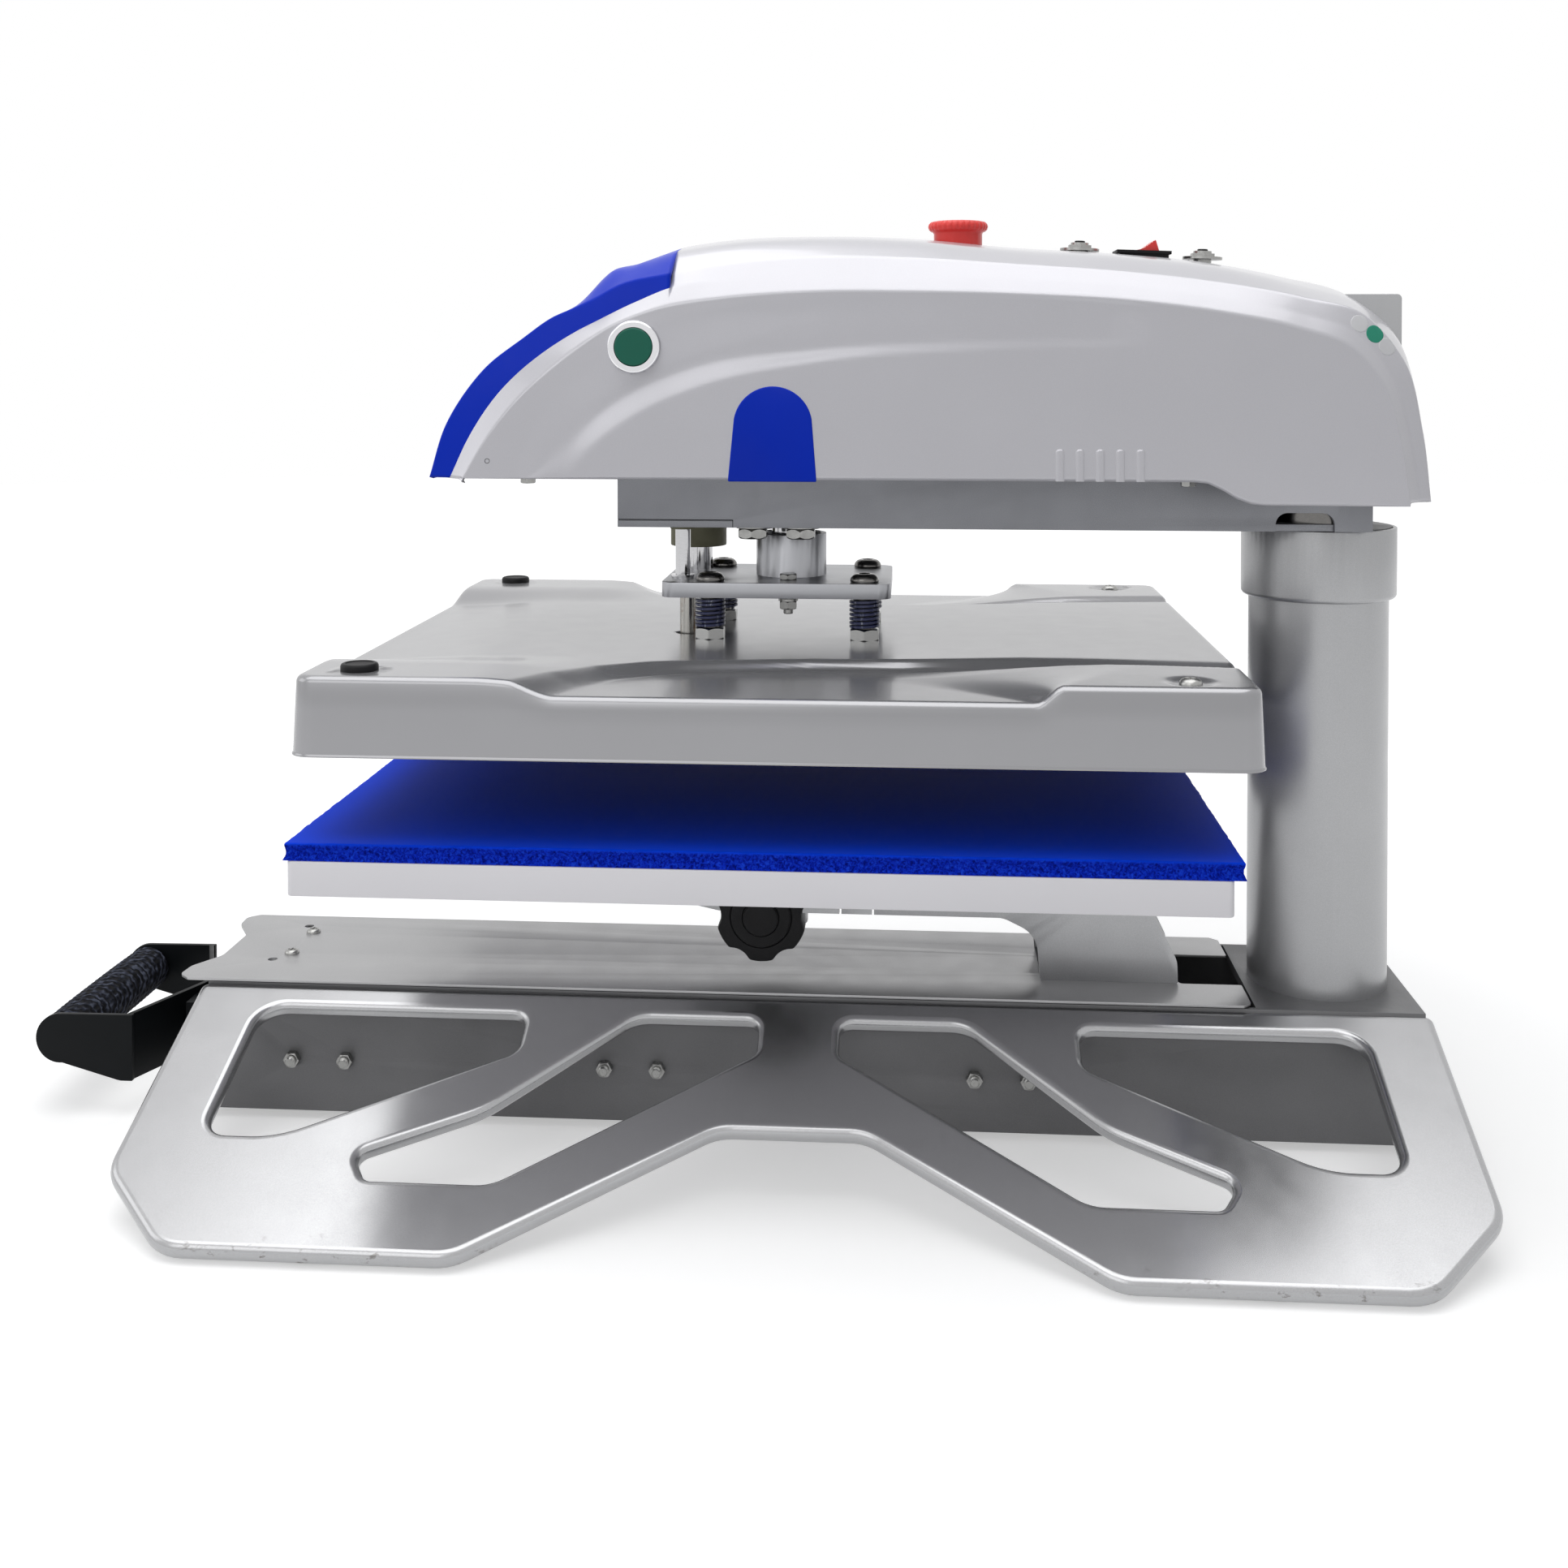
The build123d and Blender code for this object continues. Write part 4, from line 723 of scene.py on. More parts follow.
def front_fascia():
    """Blue front shell; the place of the control panel is pressed in."""
    places = places_between(0, SEAM, 1.6)
    grid = np.array(front_rows(places))
    share = ((places - KNOTS[0]) / FRONT_LENGTH)[:, None]
    depth = PANEL_DEPTH * panel_depth(grid[:, :, 0], np.repeat(share, grid.shape[1], axis=1))
    pressed = grid - upward_normals(grid) * depth[:, :, None]
    piece = shell_mesh("front_shell", [list(pressed)], "blue_plastic")
    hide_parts("front_fascia")


def patch_columns(share, span, half, corner, count):
    """X values across a rounded rectangle at one share of the front."""
    edge = min(share - span[0], span[1] - share) * FRONT_LENGTH
    short = corner - sqrt(max(corner ** 2 - (corner - edge) ** 2, 0)) if edge < corner else 0.0
    return np.linspace(-(half - short), half - short, count)


def front_patch(name, slot, span, half, lift, corner, replaces, skin, relief=None):
    """Rounded rectangle that lies on the front, lifted along the front's own normal."""
    shares = np.linspace(span[0], span[1], max(int((span[1] - span[0]) * FRONT_LENGTH / 1.1), 8))
    rim = np.array([0.12, 0.5]) / FRONT_LENGTH
    shares = np.unique(np.concatenate((shares, span[0] + rim, span[1] - rim)))
    places = KNOTS[0] + shares * FRONT_LENGTH
    curves = head_curves(0, SEAM, places)
    crown = crown_of(curves[:, 3], places)
    columns = int(2 * half / 1.2)
    grid = np.empty((len(places), columns, 3))
    for k, share in enumerate(shares):
        xs = patch_columns(share, span, half, corner, columns)
        grid[k, :, 0] = xs
        grid[k, :, 1:] = across(FRONT_SHOULDER_X, curves[k, 2], curves[k, 3], crown[k], xs)
    height = np.full(grid.shape[:2], lift)
    if relief:
        height += relief(grid[:, :, 0], ((shares - span[0]) * FRONT_LENGTH)[:, None])
    grid = grid + upward_normals(grid) * height[:, :, None]
    verts = [(p[0], p[1] + PLATEN_Y, p[2]) for row in grid for p in row]
    piece = new_piece(name, verts, grid_faces(len(places), columns), "head", slot, 40)
    facing_up = sum(f.normal.z for f in piece.data.polygons) > 0
    solidify(piece, skin, -1.0 if facing_up else 1.0)
    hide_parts(replaces)


def keys(x, v):
    """Four low round keys beside the window."""
    rise = np.zeros(np.broadcast(x, v).shape)
    for key_x in (-53, 53):
        for key_v in (20.0, 44.0):
            r = np.hypot(x - key_x, v - key_v)
            rise += 0.7 * (1 - smooth_step(r, 6.4, 7.6)) - 0.25 * (1 - smooth_step(r, 3.0, 5.5))
    return rise


def control_panel():
    front_patch("membrane_panel", "panel_film", (0.325, 0.635), PANEL_HALF - 3.2, lift=-1.35, corner=6.0,
                replaces="control_panel", skin=0.8, relief=keys)
    front_patch("display_glass", "display_film", (0.40, 0.565), 34.0, lift=-0.75, corner=3.0,
                replaces="display_window", skin=0.9)


# Upper platen's cover
COVER_HALF_X, COVER_Y = 205.0, (-246.0, 260.0)
COVER_FOOT, COVER_MIDDLE = 258.0, 296.0
COVER_SKIN = 3.0
COVER_CORNER, COVER_DRAFT, COVER_RIM = 10.8, 1.8, 4.2
COVER_COUNTS = (130, 160)  # points along a ring's two kinds of sides
CORNER_STEPS = 9
COVER_FIXING_X = 183.0
PLUG_Y, REAR_SCREW_Y = -213.5, 224.0
TUBE_PLACE = (20, -22, 296)
RAMP_TOP = [(202, -129), (168, -114.5), (140, -95.5), (124, -65), (111, 24), (107, 143), (120, 262)]
RAMP_FOOT = [(207, -110), (175, -94.5), (152, -80), (140, -63), (132, -45), (118, 24.5), (116, 75),
             (134, 262)]


def signed_distance(points, x, y):
    """Distance to an open polyline, positive on its outer (+X, rear) side."""
    best = np.full(x.shape, 1e9)
    sign = np.ones(x.shape)
    for (ax, ay), (bx, by) in zip(points, points[1:]):
        dx, dy = bx - ax, by - ay
        t = np.clip(((x - ax) * dx + (y - ay) * dy) / (dx * dx + dy * dy), 0, 1)
        gap = np.hypot(x - ax - t * dx, y - ay - t * dy)
        side = np.sign((x - ax) * dy - (y - ay) * dx)
        nearer = gap < best
        best = np.where(nearer, gap, best)
        sign = np.where(nearer, side, sign)
    return best * sign


def cover_height(x, y):
    """Height of the cover's top: raised middle, ramps down to the side grooves and raised corners."""
    x = np.abs(x)
    plateau = 296.3 + 2.7 * smooth_step(y, 40, 200)
    pad = smooth_step(x, 108, 160) * (1 - smooth_step(y, -150, -92))
    dip = 3.7 * (1 - smooth_step(x, 108, 150)) * (1 - smooth_step(y, -238, -160))
    upper = plateau + (300 - plateau) * pad - dip
    ramp_start = np.interp(x, (140, 200), (55, 145))
    ramp_end = np.interp(x, (140, 200), (205, 157))
    outer = 291 + 9 * smooth_step(y, ramp_start, ramp_end)
    groove = np.minimum(291 + 5.3 * smooth_step(y, 60, 225), outer)
    to_top, to_foot = signed_distance(RAMP_TOP, x, y), signed_distance(RAMP_FOOT, x, y)
    band = np.clip(to_top / np.maximum(to_top - to_foot, 1e-6), 0, 1)
    band = np.where(to_top <= 0, 0.0, np.where(to_foot >= 0, 1.0, band))
    band = band * band * (3 - 2 * band) * 0.35 + band * 0.65
    floor = groove + (outer - groove) * smooth_step(to_foot, 0.5, 8.0)
    height = np.where(to_foot > 0, floor, upper + (groove - upper) * band)
    return np.where(to_top <= 0, upper, height)


def dimples(x, y):
    """Rings round the plugs and dished places round the rear screws."""
    change = np.zeros(x.shape)
    for side in (1, -1):
        plug = np.hypot(x - side * COVER_FIXING_X, y - PLUG_Y)
        screw = np.hypot(x - side * COVER_FIXING_X, y - REAR_SCREW_Y)
        change += 0.5 * np.exp(-((plug - 12.5) / 1.6) ** 2) - 1.6 * (1 - smooth_step(screw, 7.0, 15.0))
    return change


def ring_points(inset):
    """Rounded rectangle at an inset from the cover's top outline, always with the same points."""
    half_x = COVER_HALF_X - COVER_DRAFT - inset
    half_y = (COVER_Y[1] - COVER_Y[0]) / 2 - COVER_DRAFT - inset
    corner = min(max(COVER_CORNER - inset, 0.6), half_x)
    signs = ((1, 1), (-1, 1), (-1, -1), (1, -1))
    middles = [np.array((sx * (half_x - corner), sy * (half_y - corner))) for sx, sy in signs]
    points = []
    for k, middle in enumerate(middles):
        for j in range(CORNER_STEPS):
            angle = radians(90 * k + 90 * j / (CORNER_STEPS - 1))
            points.append(middle + corner * np.array((cos(angle), sin(angle))))
        aim = radians(90 * k + 90)
        out = corner * np.array((round(cos(aim)), round(sin(aim))))
        start, end = middle + out, middles[(k + 1) % 4] + out
        count = COVER_COUNTS[k % 2]
        points += [start + j / count * (end - start) for j in range(1, count)]
    return np.array(points) + (0, sum(COVER_Y) / 2)


def at_height(points, z):
    return np.column_stack((points, np.broadcast_to(z, len(points))))


def upper_cover():
    """Cast cover: drafted side, rounded rim and the modelled top."""
    rings = []
    for z in (258.0, 258.6, 259.3, 259.7, 260.6, 268.0, 276.0, 283.0):
        out = COVER_DRAFT * (1 - (z - COVER_FOOT) / 38.0) + (0.6 if z < 259 else 0.0)
        rings.append(at_height(ring_points(-out), z))
    rim_top = cover_height(*ring_points(COVER_RIM).T)
    for angle in np.radians(np.linspace(0, 90, 8)[1:]):
        points = ring_points(COVER_RIM * (1 - cos(angle)))
        rings.append(at_height(points, rim_top - COVER_RIM + COVER_RIM * sin(angle)))
    inset = COVER_RIM
    while inset < COVER_HALF_X - COVER_DRAFT:
        inset = min(inset + 2.3, COVER_HALF_X - COVER_DRAFT)
        points = ring_points(inset)
        rings.append(at_height(points, cover_height(*points.T) + dimples(*points.T)))
    verts = [(p[0], p[1] + PLATEN_Y, p[2]) for ring in rings for p in ring]
    faces = grid_faces(len(rings), len(rings[0]), wrap=True)
    piece = new_piece("upper_cover_shell", verts, faces, "upper_platen", "cast_silver", 60)
    with edited(piece) as bm:
        bmesh.ops.remove_doubles(bm, verts=bm.verts, dist=0.4 * MM)
    piece.data.shade_smooth()
    cut_hole(piece, TUBE_PLACE, 7.5, UP, 30)
    solidify(piece, COVER_SKIN)
    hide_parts("upper_platen_cover")


# Lower platen's pad
PAD_X, PAD_Y, PAD_Z = 200.0, (-214.0, 286.0), (202.0, 211.0)
PAD_NX, PAD_NY = 100, 126


def pad_outline():
    xs, ys = np.linspace(-PAD_X, PAD_X, PAD_NX), np.linspace(*PAD_Y, PAD_NY)
    points = [(x, PAD_Y[0]) for x in xs[:-1]] + [(PAD_X, y) for y in ys[:-1]]
    return points + [(x, PAD_Y[1]) for x in xs[:0:-1]] + [(-PAD_X, y) for y in ys[:0:-1]]


def pad_ring(outline, swell, z):
    """The outline moved outwards by swell, at a height."""
    ring = []
    for x, y in outline:
        if abs(x) == PAD_X:
            x += swell * (1 if x > 0 else -1)
        if y in PAD_Y:
            y += swell * (1 if y > 0 else -1)
        ring.append((x, y, z))
    return ring


def pad_top(rim, start):
    """Grid inside the top rim, with a barely wavy surface."""
    index = {(x, y): start + k for k, (x, y, _) in enumerate(rim)}
    xs, ys = (sorted({p[axis] for p in rim}) for axis in (0, 1))
    verts = []
    for x in xs[1:-1]:
        for y in ys[1:-1]:
            index[x, y] = start + len(rim) + len(verts)
            wave = 0.06 * sin(x / 31.0 + 1.3 * sin(y / 57.0)) * cos(y / 43.0)
            verts.append((x, y, PAD_Z[1] + wave - 0.06))
    faces = [(index[west, south], index[east, south], index[east, north], index[west, north])
             for west, east in zip(xs, xs[1:]) for south, north in zip(ys, ys[1:])]
    return verts, faces


def silicone_pad():
    """Sponge sheet: satin top, rough cut sides drawn in a little at half height."""
    low, high = PAD_Z
    profile = [(-1.5 * sin(pi * k / 8) ** 0.8 - (0.8 if k == 8 else 0.0), low + (high - low - 0.3) * k / 8)
               for k in range(9)]
    profile += [(-1.3, high - 0.08), (-2.2, high)]
    outline = pad_outline()
    verts = [p for swell, z in profile for p in pad_ring(outline, swell, z)]
    n = len(outline)
    start = (len(profile) - 1) * n
    inner, inner_faces = pad_top(verts[start:], start)
    verts += inner
    faces = grid_faces(len(profile), n, wrap=True) + inner_faces + [tuple(reversed(range(n)))]
    jitter = np.random.default_rng(7).normal(0, 0.12, (len(verts), 3))
    for k in range(n, start):
        verts[k] = tuple(np.array(verts[k]) + jitter[k])
    piece = new_piece("silicone_sheet", verts, faces, "drawer", "blue_silicone", 50)
    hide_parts("silicone_pad")


# Springs
SPRING_PLACES = [(x, y) for x in (-38, 38) for y in (-6, 88)]


def springs():
    """Four flat-wire springs, nearly closed up."""
    low, high = 303.0, FLANGE_FOOT
    turns, steps = 7.0, 48
    radial, axial = 3.5, 1.85
    middle = 9.2 - radial / 2
    section = [(-0.5, -0.36), (-0.36, -0.5), (0.36, -0.5), (0.5, -0.36),
               (0.5, 0.36), (0.36, 0.5), (-0.36, 0.5), (-0.5, 0.36)]
    total = int(turns * steps) + 1
    verts, faces = [], []
    for x, y in SPRING_PLACES:
        base = len(verts)
        for k in range(total):
            share = k / (total - 1)
            angle = 2 * pi * turns * share + 0.6 * x
            z = low + axial / 2 + (high - low - axial) * (share - 0.012 * sin(2 * pi * share))
            for r, h in section:
                radius = middle + r * radial
                verts.append((x + radius * cos(angle), y + radius * sin(angle), z + h * axial))
        end = len(verts) - len(section)
        faces += grid_faces(total, len(section), wrap=True, start=base)
        faces += [tuple(range(base, base + len(section))), tuple(reversed(range(end, end + len(section))))]
    piece = new_piece("die_springs", verts, faces, "press", "spring_blue", 40)
    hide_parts("platen_springs")
    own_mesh(piece)


# Turned, hexagonal and lobed pieces
class Builder:
    """Collects the vertices and faces of one piece."""

    def __init__(self):
        self.verts = []
        self.faces = []

    def spin(self, profile, place, axis="Z", steps=48):
        """Solid round an axis; profile gives its (radius, height) points for an angle."""
        base = len(self.verts)
        rows = [profile(2 * pi * k / steps) for k in range(steps)]
        for k, row in enumerate(rows):
            angle = 2 * pi * k / steps
            for radius, height in row:
                u, v = radius * cos(angle), radius * sin(angle)
                x, y, z = {"Z": (u, v, height), "X": (height, u, v), "-X": (-height, u, v)}[axis]
                self.verts.append((x + place[0], y + place[1], z + place[2]))
        count = len(rows[0])
        for k in range(steps):
            here, after = base + k * count, base + (k + 1) % steps * count
            self.faces += [(here + c, after + c, after + c + 1, here + c + 1) for c in range(count - 1)]

    def box(self, x, y, z):
        base = len(self.verts)
        self.verts += [(a, b, c) for a in x for b in y for c in z]
        self.faces += [tuple(base + k for k in quad) for quad in
                       ((0, 1, 3, 2), (4, 6, 7, 5), (0, 4, 5, 1), (2, 3, 7, 6), (0, 2, 6, 4), (1, 5, 7, 3))]

    def piece(self, name, body, slot, replaces=None, sharp=38.0, material=None):
        """Makes the piece, joins its doubled points and turns every face outwards."""
        made = new_piece(name, self.verts, self.faces, body, slot, sharp, material)
        with edited(made) as bm:
            bmesh.ops.remove_doubles(bm, verts=bm.verts, dist=0.008 * MM)
            bmesh.ops.dissolve_degenerate(bm, edges=bm.edges, dist=0.004 * MM)
            bmesh.ops.recalc_face_normals(bm, faces=bm.faces)
        made.data.shade_smooth()
        made.data.set_sharp_from_angle(angle=radians(sharp))
        if replaces:
            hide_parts(replaces)
        return made


def turned(*points):
    return lambda angle: points


def hexagonal(flats, low, high, bore=0.0, cut=0.6):
    """Nut or bolt head with its corners turned off in a cone at both ends."""
    def at(angle):
        corner = flats / 2 / cos(angle % (pi / 3) - pi / 6)
        face = 0.475 * flats
        drop = max(corner - face, 0.0) * cut
        points = [(bore, low), (face, low), (corner, low + drop), (corner, high - drop), (face, high),
                  (bore, high)]
        return points + [(bore, low)] if bore else points
    return at


def pan_head(radius, low, high, shank, foot):
    """Screw head with a cross recess, on its shank."""
    def at(angle):
        rise = high - low
        arm = abs((angle + pi / 4) % (pi / 2) - pi / 4) < 0.32
        dip = 0.45 * rise if arm else 0.06
        return [(0, high - 0.5 * rise), (0.14 * radius, high - 0.5 * rise), (0.2 * radius, high - dip),
                (0.5 * radius, high - dip), (0.53 * radius, high - 0.08), (0.76 * radius, high - 0.17 * rise),
                (0.92 * radius, high - 0.42 * rise), (radius, low + 0.28 * rise), (radius, low), (shank, low),
                (shank, foot), (0, foot)]
    return at


def button_head(radius, low, high, socket, shank, foot):
    """Domed bolt head with a hexagon socket, on its shank."""
    def at(angle):
        corner = socket / 2 / cos(angle % (pi / 3) - pi / 6)
        rim = socket * 0.64
        points = [(0, high - 2.6), (corner, high - 2.6), (corner, high - 0.25), (rim, high)]
        for t in np.radians(np.linspace(0, 90, 9)[1:]):
            points.append((rim + (radius - rim) * sin(t), low + 0.9 + (high - low - 0.9) * cos(t)))
        return points + [(radius - 0.3, low), (shank, low), (shank, foot), (0, foot)]
    return at


def spring_bolts():
    nuts, bolts = Builder(), Builder()
    for place in SPRING_PLACES:
        nuts.spin(hexagonal(17, 0, 7, 5.02), (*place, COVER_MIDDLE))
        bolts.spin(button_head(8.75, 0, 5.2, 6.0, 5.0, -69.5), (*place, FLANGE_TOP), steps=72)
    nuts.piece("spring_nuts", "upper_platen", "zinc_steel", "platen_nuts", material=materials["platen_hex"])
    bolts.piece("hanger_bolts", "upper_platen", "dark_steel", "platen_bolts")


def head_bolts():
    """Four bolts with washers under the beam, and the screws that hold the cover."""
    under = Builder()
    washer = turned((0, -1.6), (10.2, -1.6), (10.5, -1.3), (10.5, 0), (5, 0), (5, 11), (0, 11))
    shank = turned((0, -0.1), (3, -0.1), (3, 20), (0, 20))
    for x in (-32, 32):
        for y in (19.6, 49.0):
            under.spin(hexagonal(17, -8, -1.6, cut=1.0), (x, y, BEAM_FOOT))
            under.spin(washer, (x, y, BEAM_FOOT))
    for x in (-80, 80):
        for y in (-109, 274.5):
            under.spin(hexagonal(8, -4, 0), (x, y, HEAD_FOOT))
            under.spin(shank, (x, y, HEAD_FOOT), steps=24)
    under.piece("head_bolts", "head", "zinc_steel", "head_screws")


def flange_hardware():
    """Disc under the flange, and the small bolt beside it with its nut and washer."""
    clamp = Builder()
    bolt = (28.5, RAM_Y, FLANGE_FOOT)
    disc = turned((0, -2.5), (19.2, -2.5), (20, -1.7), (20, 0), (0, 0))
    clamp.spin(disc, (0, RAM_Y, FLANGE_FOOT), steps=72)
    clamp.spin(hexagonal(10, 9, 12.6, cut=1.0), bolt)
    clamp.spin(turned((0, -12), (2.6, -12), (3, -11.5), (3, 9.1), (0, 9.1)), bolt, steps=24)
    clamp.spin(hexagonal(10, -9, -4, 2.98, cut=0.9), bolt)
    clamp.spin(turned((2.98, -4), (6, -4), (6, -2.6), (2.98, -2.6), (2.98, -4)), bolt)
    clamp.piece("flange_hardware", "press", "zinc_steel", "flange_fasteners")


def slide_bolts():
    """Bolts through the channel's walls, with threads that stand out of their nuts."""
    thread = [(2.98, 5)]
    for k in range(5):
        thread += [(3.0, 5.2 + 0.4 * k), (2.72, 5.4 + 0.4 * k)]
    bolt = turned((0, -5), (5, -5), (5, -4), (3, -4), *thread, (2.3, 7.5), (0, 7.5))
    walls = Builder()
    for y in (-261, -228, -68, -36, 154, 186):
        for axis, x in (("X", CHANNEL_HALF), ("-X", -CHANNEL_HALF)):
            walls.spin(hexagonal(8.6, 0, 4.6, 2.98, cut=0.8), (x, y, 38), axis)
            walls.spin(bolt, (x, y, 38), axis, steps=36)
    walls.piece("slide_bolts", "base", "zinc_steel", "wall_fasteners")


def deck_screws():
    pans = Builder()
    for x in (-27.7, 12.7):
        pans.spin(pan_head(4.5, 0, 2.6, 2.5, -9), (x, -277.7, 87), steps=60)
    for x in (-14, 14):
        for y in (202, 262):
            pans.spin(pan_head(4.5, 0, 2.6, 2.5, -13), (x, y, 91), steps=60)
    pans.piece("deck_screws", "drawer", "zinc_steel", "drawer_screws")


def cover_fixings():
    plug = turned((0, -2), (9.6, -2), (10, -0.5), (10, 2.6), (9.5, 3.6), (8.7, 4), (7.6, 4), (7.1, 3.5),
                  (0, 3.3))
    domes, plugs = Builder(), Builder()
    for x in (-COVER_FIXING_X, COVER_FIXING_X):
        domes.spin(pan_head(6, -1.6, 2.2, 3.2, -8), (x, REAR_SCREW_Y + PLATEN_Y, 299.6), steps=60)
        plugs.spin(plug, (x, PLUG_Y + PLATEN_Y, 300), steps=60)
    domes.piece("cover_screws", "upper_platen", "zinc_steel", "cover_rear_screws")
    plugs.piece("plug_caps", "upper_platen", "black_plastic", "cover_plugs")


def knob_reach(angle):
    """Radius of the knob's rim: six lobes with hollows between them."""
    reach, flute, lobe, blend = 35.6, 11.6, 27, 0.45
    off = (angle + pi / 6) % (pi / 3) - pi / 6
    inner = flute ** 2 - (reach * sin(off)) ** 2
    hollow = reach * cos(off) - sqrt(inner) if inner > 0 else 60.0
    return -blend * np.log(np.exp(-lobe / blend) + np.exp(-hollow / blend))


def clamp_knob():
    def at(angle):
        r = knob_reach(angle)
        return [(0, 62), (5.1, 62), (5.1, 40), (10.2, 40), (11, 40.8), (11, 53.4), (12, 54), (r - 2.2, 54),
                (r - 0.7, 54.6), (r, 56.2), (r, 65.8), (r - 0.7, 67.4), (r - 2.2, 68), (18.6, 68),
                (18.1, 67.4), (17.7, 67.4), (17.6, 69.4), (17.0, 70), (11.2, 70), (10.8, 69.4),
                (10.5, 69.4), (10.4, 71.4), (9.8, 72), (0, 72)]
    knob = Builder()
    knob.spin(at, (0, 27.5, 135), "X", steps=180)
    knob.piece("clamp_handwheel", "clamp_knob", "black_plastic", "clamp_knob", 30)


def emergency_cap():
    """Mushroom cap: domed top, ribbed rim and a straight neck."""
    def at(angle):
        r = 18.5 - 0.55 * (0.5 + 0.5 * cos(30 * angle)) ** 2
        return [(0, 540.3), (8.06, 540.3), (8.06, 536.3), (15.0, 536.3), (15.0, 543.6), (15.6, 544.8),
                (16.9, 545.3), (r - 0.5, 546.4), (r, 547.8), (r, 548.8), (r - 0.5, 550.1), (16.9, 551.1),
                (14.5, 551.6), (9, 551.9), (0, 552)]
    cap = Builder()
    cap.spin(at, (0, ESTOP_Y, 0), steps=360)
    cap.piece("estop_mushroom", "estop_cap", "red_plastic", "estop_cap", 50)


def sleeve_radius(x, half):
    """Slightly thicker in the middle, with round ends."""
    near = half - abs(x)
    radius = 14.7 - 0.7 * abs(x / half) ** 3
    return radius - 3.4 + sqrt(max(3.4 ** 2 - (3.4 - near) ** 2, 0)) if near < 3.4 else radius


def foam_sleeve():
    """Handle sleeve with a woven skin and soft ends."""
    half, bore, grip_y, grip_z = 61.5, 10.05, -405, 49
    steps, rows = 220, 260
    angles = [2 * pi * j / steps for j in range(steps)]
    grip = Builder()
    for x in np.linspace(-half, half, rows):
        radius, share = sleeve_radius(x, half), min((half - abs(x)) / 3.0, 1.0)
        for angle in angles:
            weave = sin(0.62 * x + 11 * angle) * sin(0.62 * x - 11 * angle)
            fold = 0.5 * sin(1.9 * x + 2.0 * sin(3 * angle))
            r = radius + 0.26 * share * (weave + 0.35 * fold)
            grip.verts.append((x, grip_y + r * cos(angle), grip_z + r * sin(angle)))
    grip.faces = grid_faces(rows, steps, wrap=True)
    for rim, x in ((0, -half), ((rows - 1) * steps, half)):
        start = len(grip.verts)
        grip.verts += [(x, grip_y + bore * cos(angle), grip_z + bore * sin(angle)) for angle in angles]
        for j in range(steps):
            after = (j + 1) % steps
            grip.faces.append((rim + j, rim + after, start + after, start + j))
    piece = grip.piece("foam_grip", "drawer", "grip_foam", "handle_grip", 60)


# Small marks on the head
RIB_FOOT, RIB_TOP = 397.1, 413.4
RIB_COLUMNS = 9


def rib_rows(side, y):
    """Rows of points up one rib, whose top is rounded off."""
    rows = []
    for z in (*np.linspace(RIB_FOOT, RIB_TOP, 12), *(RIB_TOP + 2.0 * np.sin(np.linspace(0.15, 1.5, 8)))):
        top = max(z - RIB_TOP, 0.0)
        half = 2.5 * sqrt(max(1 - (top / 2.1) ** 2, 0.0))
        high = 1.15 * (1 - (top / 2.05) ** 4)
        row = []
        for t in np.linspace(-1, 1, RIB_COLUMNS):
            lift = high * (1 - abs(t) ** 5)
            row.append((side * (101.7 + lift), y + half * t * (1.0 if abs(t) < 1 else 1.08), z))
        rows.append(row)
    return rows


def vent_ribs():
    """Five low round-topped ribs over the lower edge of each side."""
    ribs = Builder()
    for side in (1, -1):
        for k in range(5):
            rows = rib_rows(side, 163.7 + 11.25 * k + PLATEN_Y)
            start = len(ribs.verts)
            ribs.verts += [p for row in rows for p in row]
            ribs.faces += grid_faces(len(rows), RIB_COLUMNS, start=start)
            base = len(ribs.verts)
            corners = [p for row in (rows[0], rows[-1]) for p in (row[0], row[-1])]
            ribs.verts += [(side * 101.0, y, z) for _, y, z in corners]
            last = base - RIB_COLUMNS
            ribs.faces += [
                (*range(start, start + RIB_COLUMNS), base + 1, base),
                (*range(last, base), base + 3, base + 2),
                (*range(start, base, RIB_COLUMNS), base + 2, base),
                (*range(start + RIB_COLUMNS - 1, base, RIB_COLUMNS), base + 3, base + 1),
                (base, base + 1, base + 3, base + 2)]
    ribs.piece("vent_ribs", "head", "pearl_plastic", sharp=50)


def pin_holes():
    """Small blind holes low at the front of each side: shallow dished discs whose black is painted shade for
    the holes' depth.
    """
    holes = Builder()
    hole = turned((0, -1.4), (1.0, -1.2), (1.05, -0.1), (1.3, 0.08), (1.5, 0.05), (1.5, -1.6), (0, -1.6))
    for axis, x in (("X", WALL_X), ("-X", -WALL_X)):
        holes.spin(hole, (x, -164.1 + PLATEN_Y, 407.2), axis, steps=24)
    # The black plastic of these dishes is painted shade for the inside of the holes
    holes.piece("pin_holes", "head", "black_plastic")


STICKERS = (("sticker_front", (330.2, 484.9), "pearl_plastic", "sticker_white"),
            ("sticker_middle", (338.7, 479.4), "green_plastic", "sticker_green"),
            ("sticker_rear", (345.5, 472.5), "pearl_plastic", "sticker_white"))


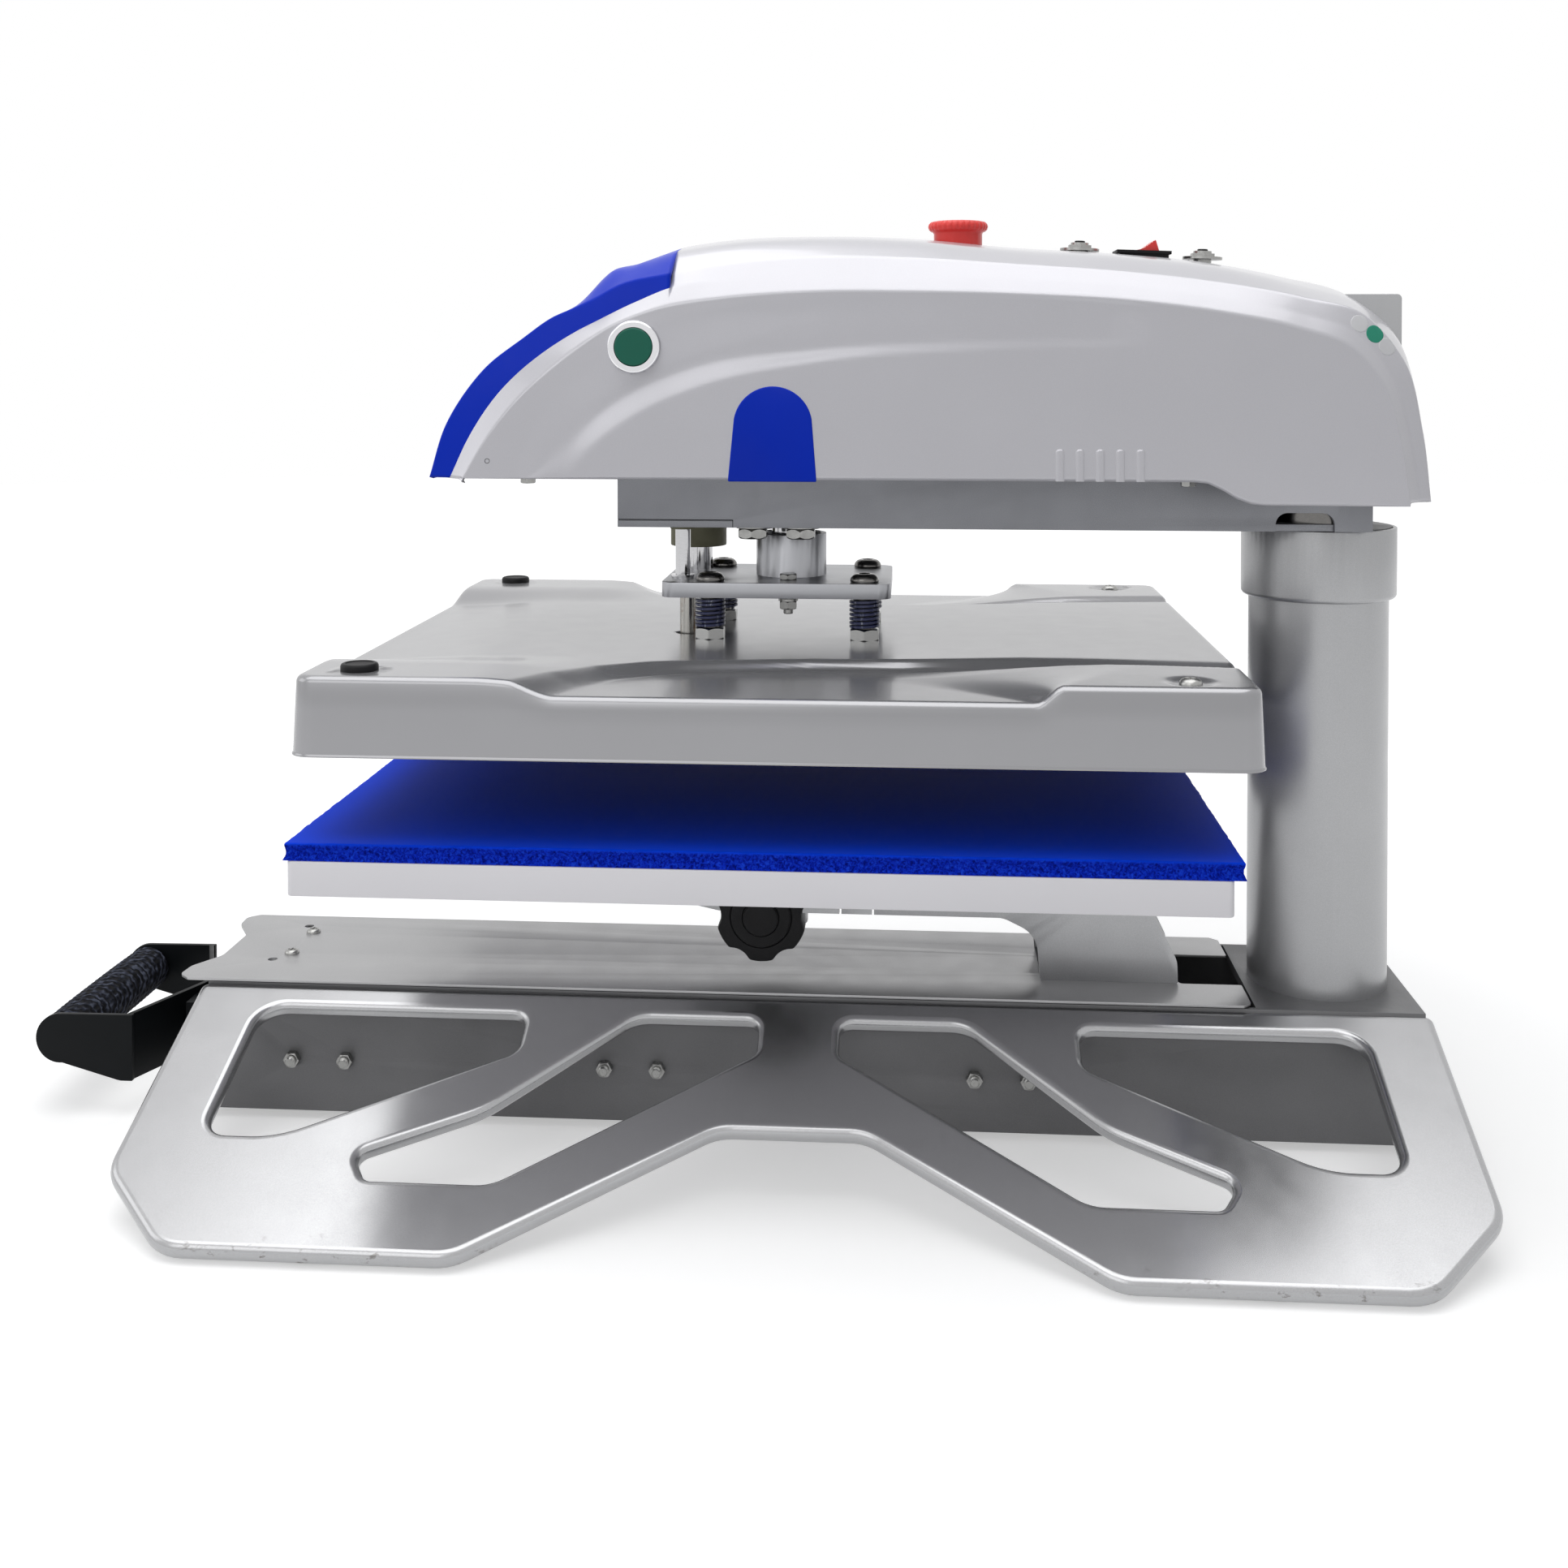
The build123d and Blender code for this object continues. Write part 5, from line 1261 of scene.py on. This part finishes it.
def stickers(shell):
    """Three blank round stickers that follow the cover."""
    rings, steps = (1.5, 3.0, 4.5, 5.0, 5.15), 40
    bm = bmesh.new()
    bm.from_mesh(shell.data)
    tree = BVHTree.FromBMesh(bm)
    for name, (y, z), slot, finish in STICKERS:
        centre, out, _, _ = tree.find_nearest(Vector((90, y + PLATEN_Y, z)) * MM)
        out = out if out.x > 0 else -out
        side = out.cross(Vector((0, 0, 1))).normalized()
        up = side.cross(out).normalized()
        verts = []
        for radius in rings:
            lift = 0.12 if radius < rings[-1] else 0.0
            for k in range(steps):
                angle = 2 * pi * k / steps
                aim = centre + (side * cos(angle) + up * sin(angle)) * radius * MM
                hit, normal, _, _ = tree.find_nearest(aim)
                normal = normal if normal.dot(out) > 0 else -normal
                verts.append(tuple((hit + normal * lift * MM) / MM))
        faces = grid_faces(len(rings), steps, wrap=True) + [tuple(range(steps))]
        new_piece(name, verts, faces, "head", slot, 60, materials[finish])
    bm.free()


def beam_seams():
    """Joint line of the plate let into the beam's lower front."""
    seam = Builder()
    for side in (1, -1):
        x = sorted((side * 49.6, side * 50.06))
        seam.box(x, (-60.6, 9.2), (368.85, 369.15))
        seam.box(x, (8.8, 9.25), (364.6, 369.15))
    seam.piece("beam_seams", "head", "silver_paint", material=materials["shadow_gap"])


def rocker_outline():
    outline = [(-12, -0.5), (-11.8, 0.6), (-11.2, 1.2), (-6, 1.8), (-2.5, 2.5), (0, 3.5)]
    for k in range(4):
        y = 0.9 + 1.45 * k
        z = 3.9 + 0.78 * (y - 0.9)
        outline += [(y, z), (y + 0.3, z + 0.6), (y + 0.85, z + 0.95), (y + 1.15, z + 0.7)]
    return np.array(outline + [(6.8, 8.6), (7.2, 8.4), (9.8, 0.8), (8, -7), (-8, -7)])


def rocker():
    """Red rocker, ribbed on its raised end, with the pin that it turns on."""
    builder = Builder()
    outline = rocker_outline()
    middle = outline.mean(axis=0)
    tilt, place = radians(-2), (0, 258, 530.6)
    sections = ((-10.4, 0.5), (-10.15, 0.15), (-9.7, 0.0), (9.7, 0.0), (10.15, 0.15), (10.4, 0.5))
    for x, inset in sections:
        for y, z in outline + (middle - outline) * inset / 9.0:
            builder.verts.append((x, place[1] + y * cos(tilt) - z * sin(tilt),
                                  place[2] + y * sin(tilt) + z * cos(tilt)))
    n = len(outline)
    builder.faces = grid_faces(len(sections), n, wrap=True)
    builder.faces += [tuple(range(n)), tuple(reversed(range((len(sections) - 1) * n, len(sections) * n)))]
    builder.spin(turned((0, -11.4), (1.4, -11.4), (1.4, 11.4), (0, 11.4)), place, "X", steps=32)
    builder.piece("ribbed_rocker", "rocker_switch", "red_plastic", "rocker_switch", 35)


# Light and floor
def add_area(name, place, target, size, energy):
    data = bpy.data.lights.new(name, "AREA")
    data.shape = "RECTANGLE"
    data.size, data.size_y = size
    data.energy = energy
    lamp = link(name, data)
    lamp.location = place
    aim = Vector(target) - Vector(place)
    lamp.rotation_euler = aim.to_track_quat("-Z", "Y").to_euler()


def add_world():
    """Even soft light; where the world itself is seen, it is plain white."""
    world = bpy.data.worlds.new("studio")
    bpy.context.scene.world = world
    graph = Graph(world)
    soft = graph.add("Background", Color=(0.96, 0.98, 1.0, 1), Strength=0.26)
    white = graph.add("Background", Color=(1, 1, 1, 1), Strength=1.0)
    mix = graph.add("MixShader")
    for socket, value in zip(mix.inputs, (graph.seen_rays(), soft.outputs[0], white.outputs[0])):
        graph.fill(socket, value)
    graph.fill(graph.add("OutputWorld").inputs[0], mix.outputs[0])


def floor_material():
    tree = Tree("floor_paper", Roughness=0.9, Specular_IOR_Level=0.05, Emission_Color=(1, 1, 1, 1))
    length = tree.add("VectorMath")
    length.operation = "LENGTH"
    tree.fill(length.inputs[0], tree.coords)
    far = tree.spread(length.outputs["Value"], 0.55, 1.2)
    tree.feed("Base Color", tree.mix(far, (0.86, 0.86, 0.86), (0.5, 0.5, 0.5)))
    glow = tree.math("MULTIPLY", tree.seen_rays(), tree.spread(far, 0, 1, 0.42, 0.95))
    tree.feed("Emission Strength", glow)
    return tree.material


def add_floor():
    """Pale paper sweep; its far part is seen as plain white by the camera and by reflections."""
    rings = (0.35, 0.7, 1.05, 1.5, 2.2, 3.4, 6.0)
    count = 72
    verts = [(0, 0, 0)]
    for r in rings:
        verts += [(r * cos(2 * pi * k / count), r * sin(2 * pi * k / count), 0) for k in range(count)]
    faces = [(0, 1 + k, 1 + (k + 1) % count) for k in range(count)]
    faces += grid_faces(len(rings), count, wrap=True, start=1)
    mesh = bpy.data.meshes.new("floor")
    mesh.from_pydata(verts, [], faces)
    mesh.materials.append(floor_material())
    floor = link("floor", mesh)


bpy.context.scene.view_settings.view_transform = "Standard"
add_camera()
add_world()
add_floor()
add_area("overhead", (0.2, -0.1, 2.2), (0, 0, 0.2), (2.4, 2.4), 34)
add_area("camera_side", (2.2, -0.9, 1.5), (0, 0, 0.25), (1.6, 1.4), 8)
add_area("front", (0.4, -2.2, 1.2), (0, 0, 0.25), (1.6, 1.2), 6)

dress_nodes()
stickers(head_shell())
front_fascia()
control_panel()
vent_ribs()
pin_holes()
beam_seams()
rocker()
emergency_cap()
upper_cover()
springs()
spring_bolts()
head_bolts()
flange_hardware()
slide_bolts()
deck_screws()
cover_fixings()
silicone_pad()
clamp_knob()
foam_sleeve()
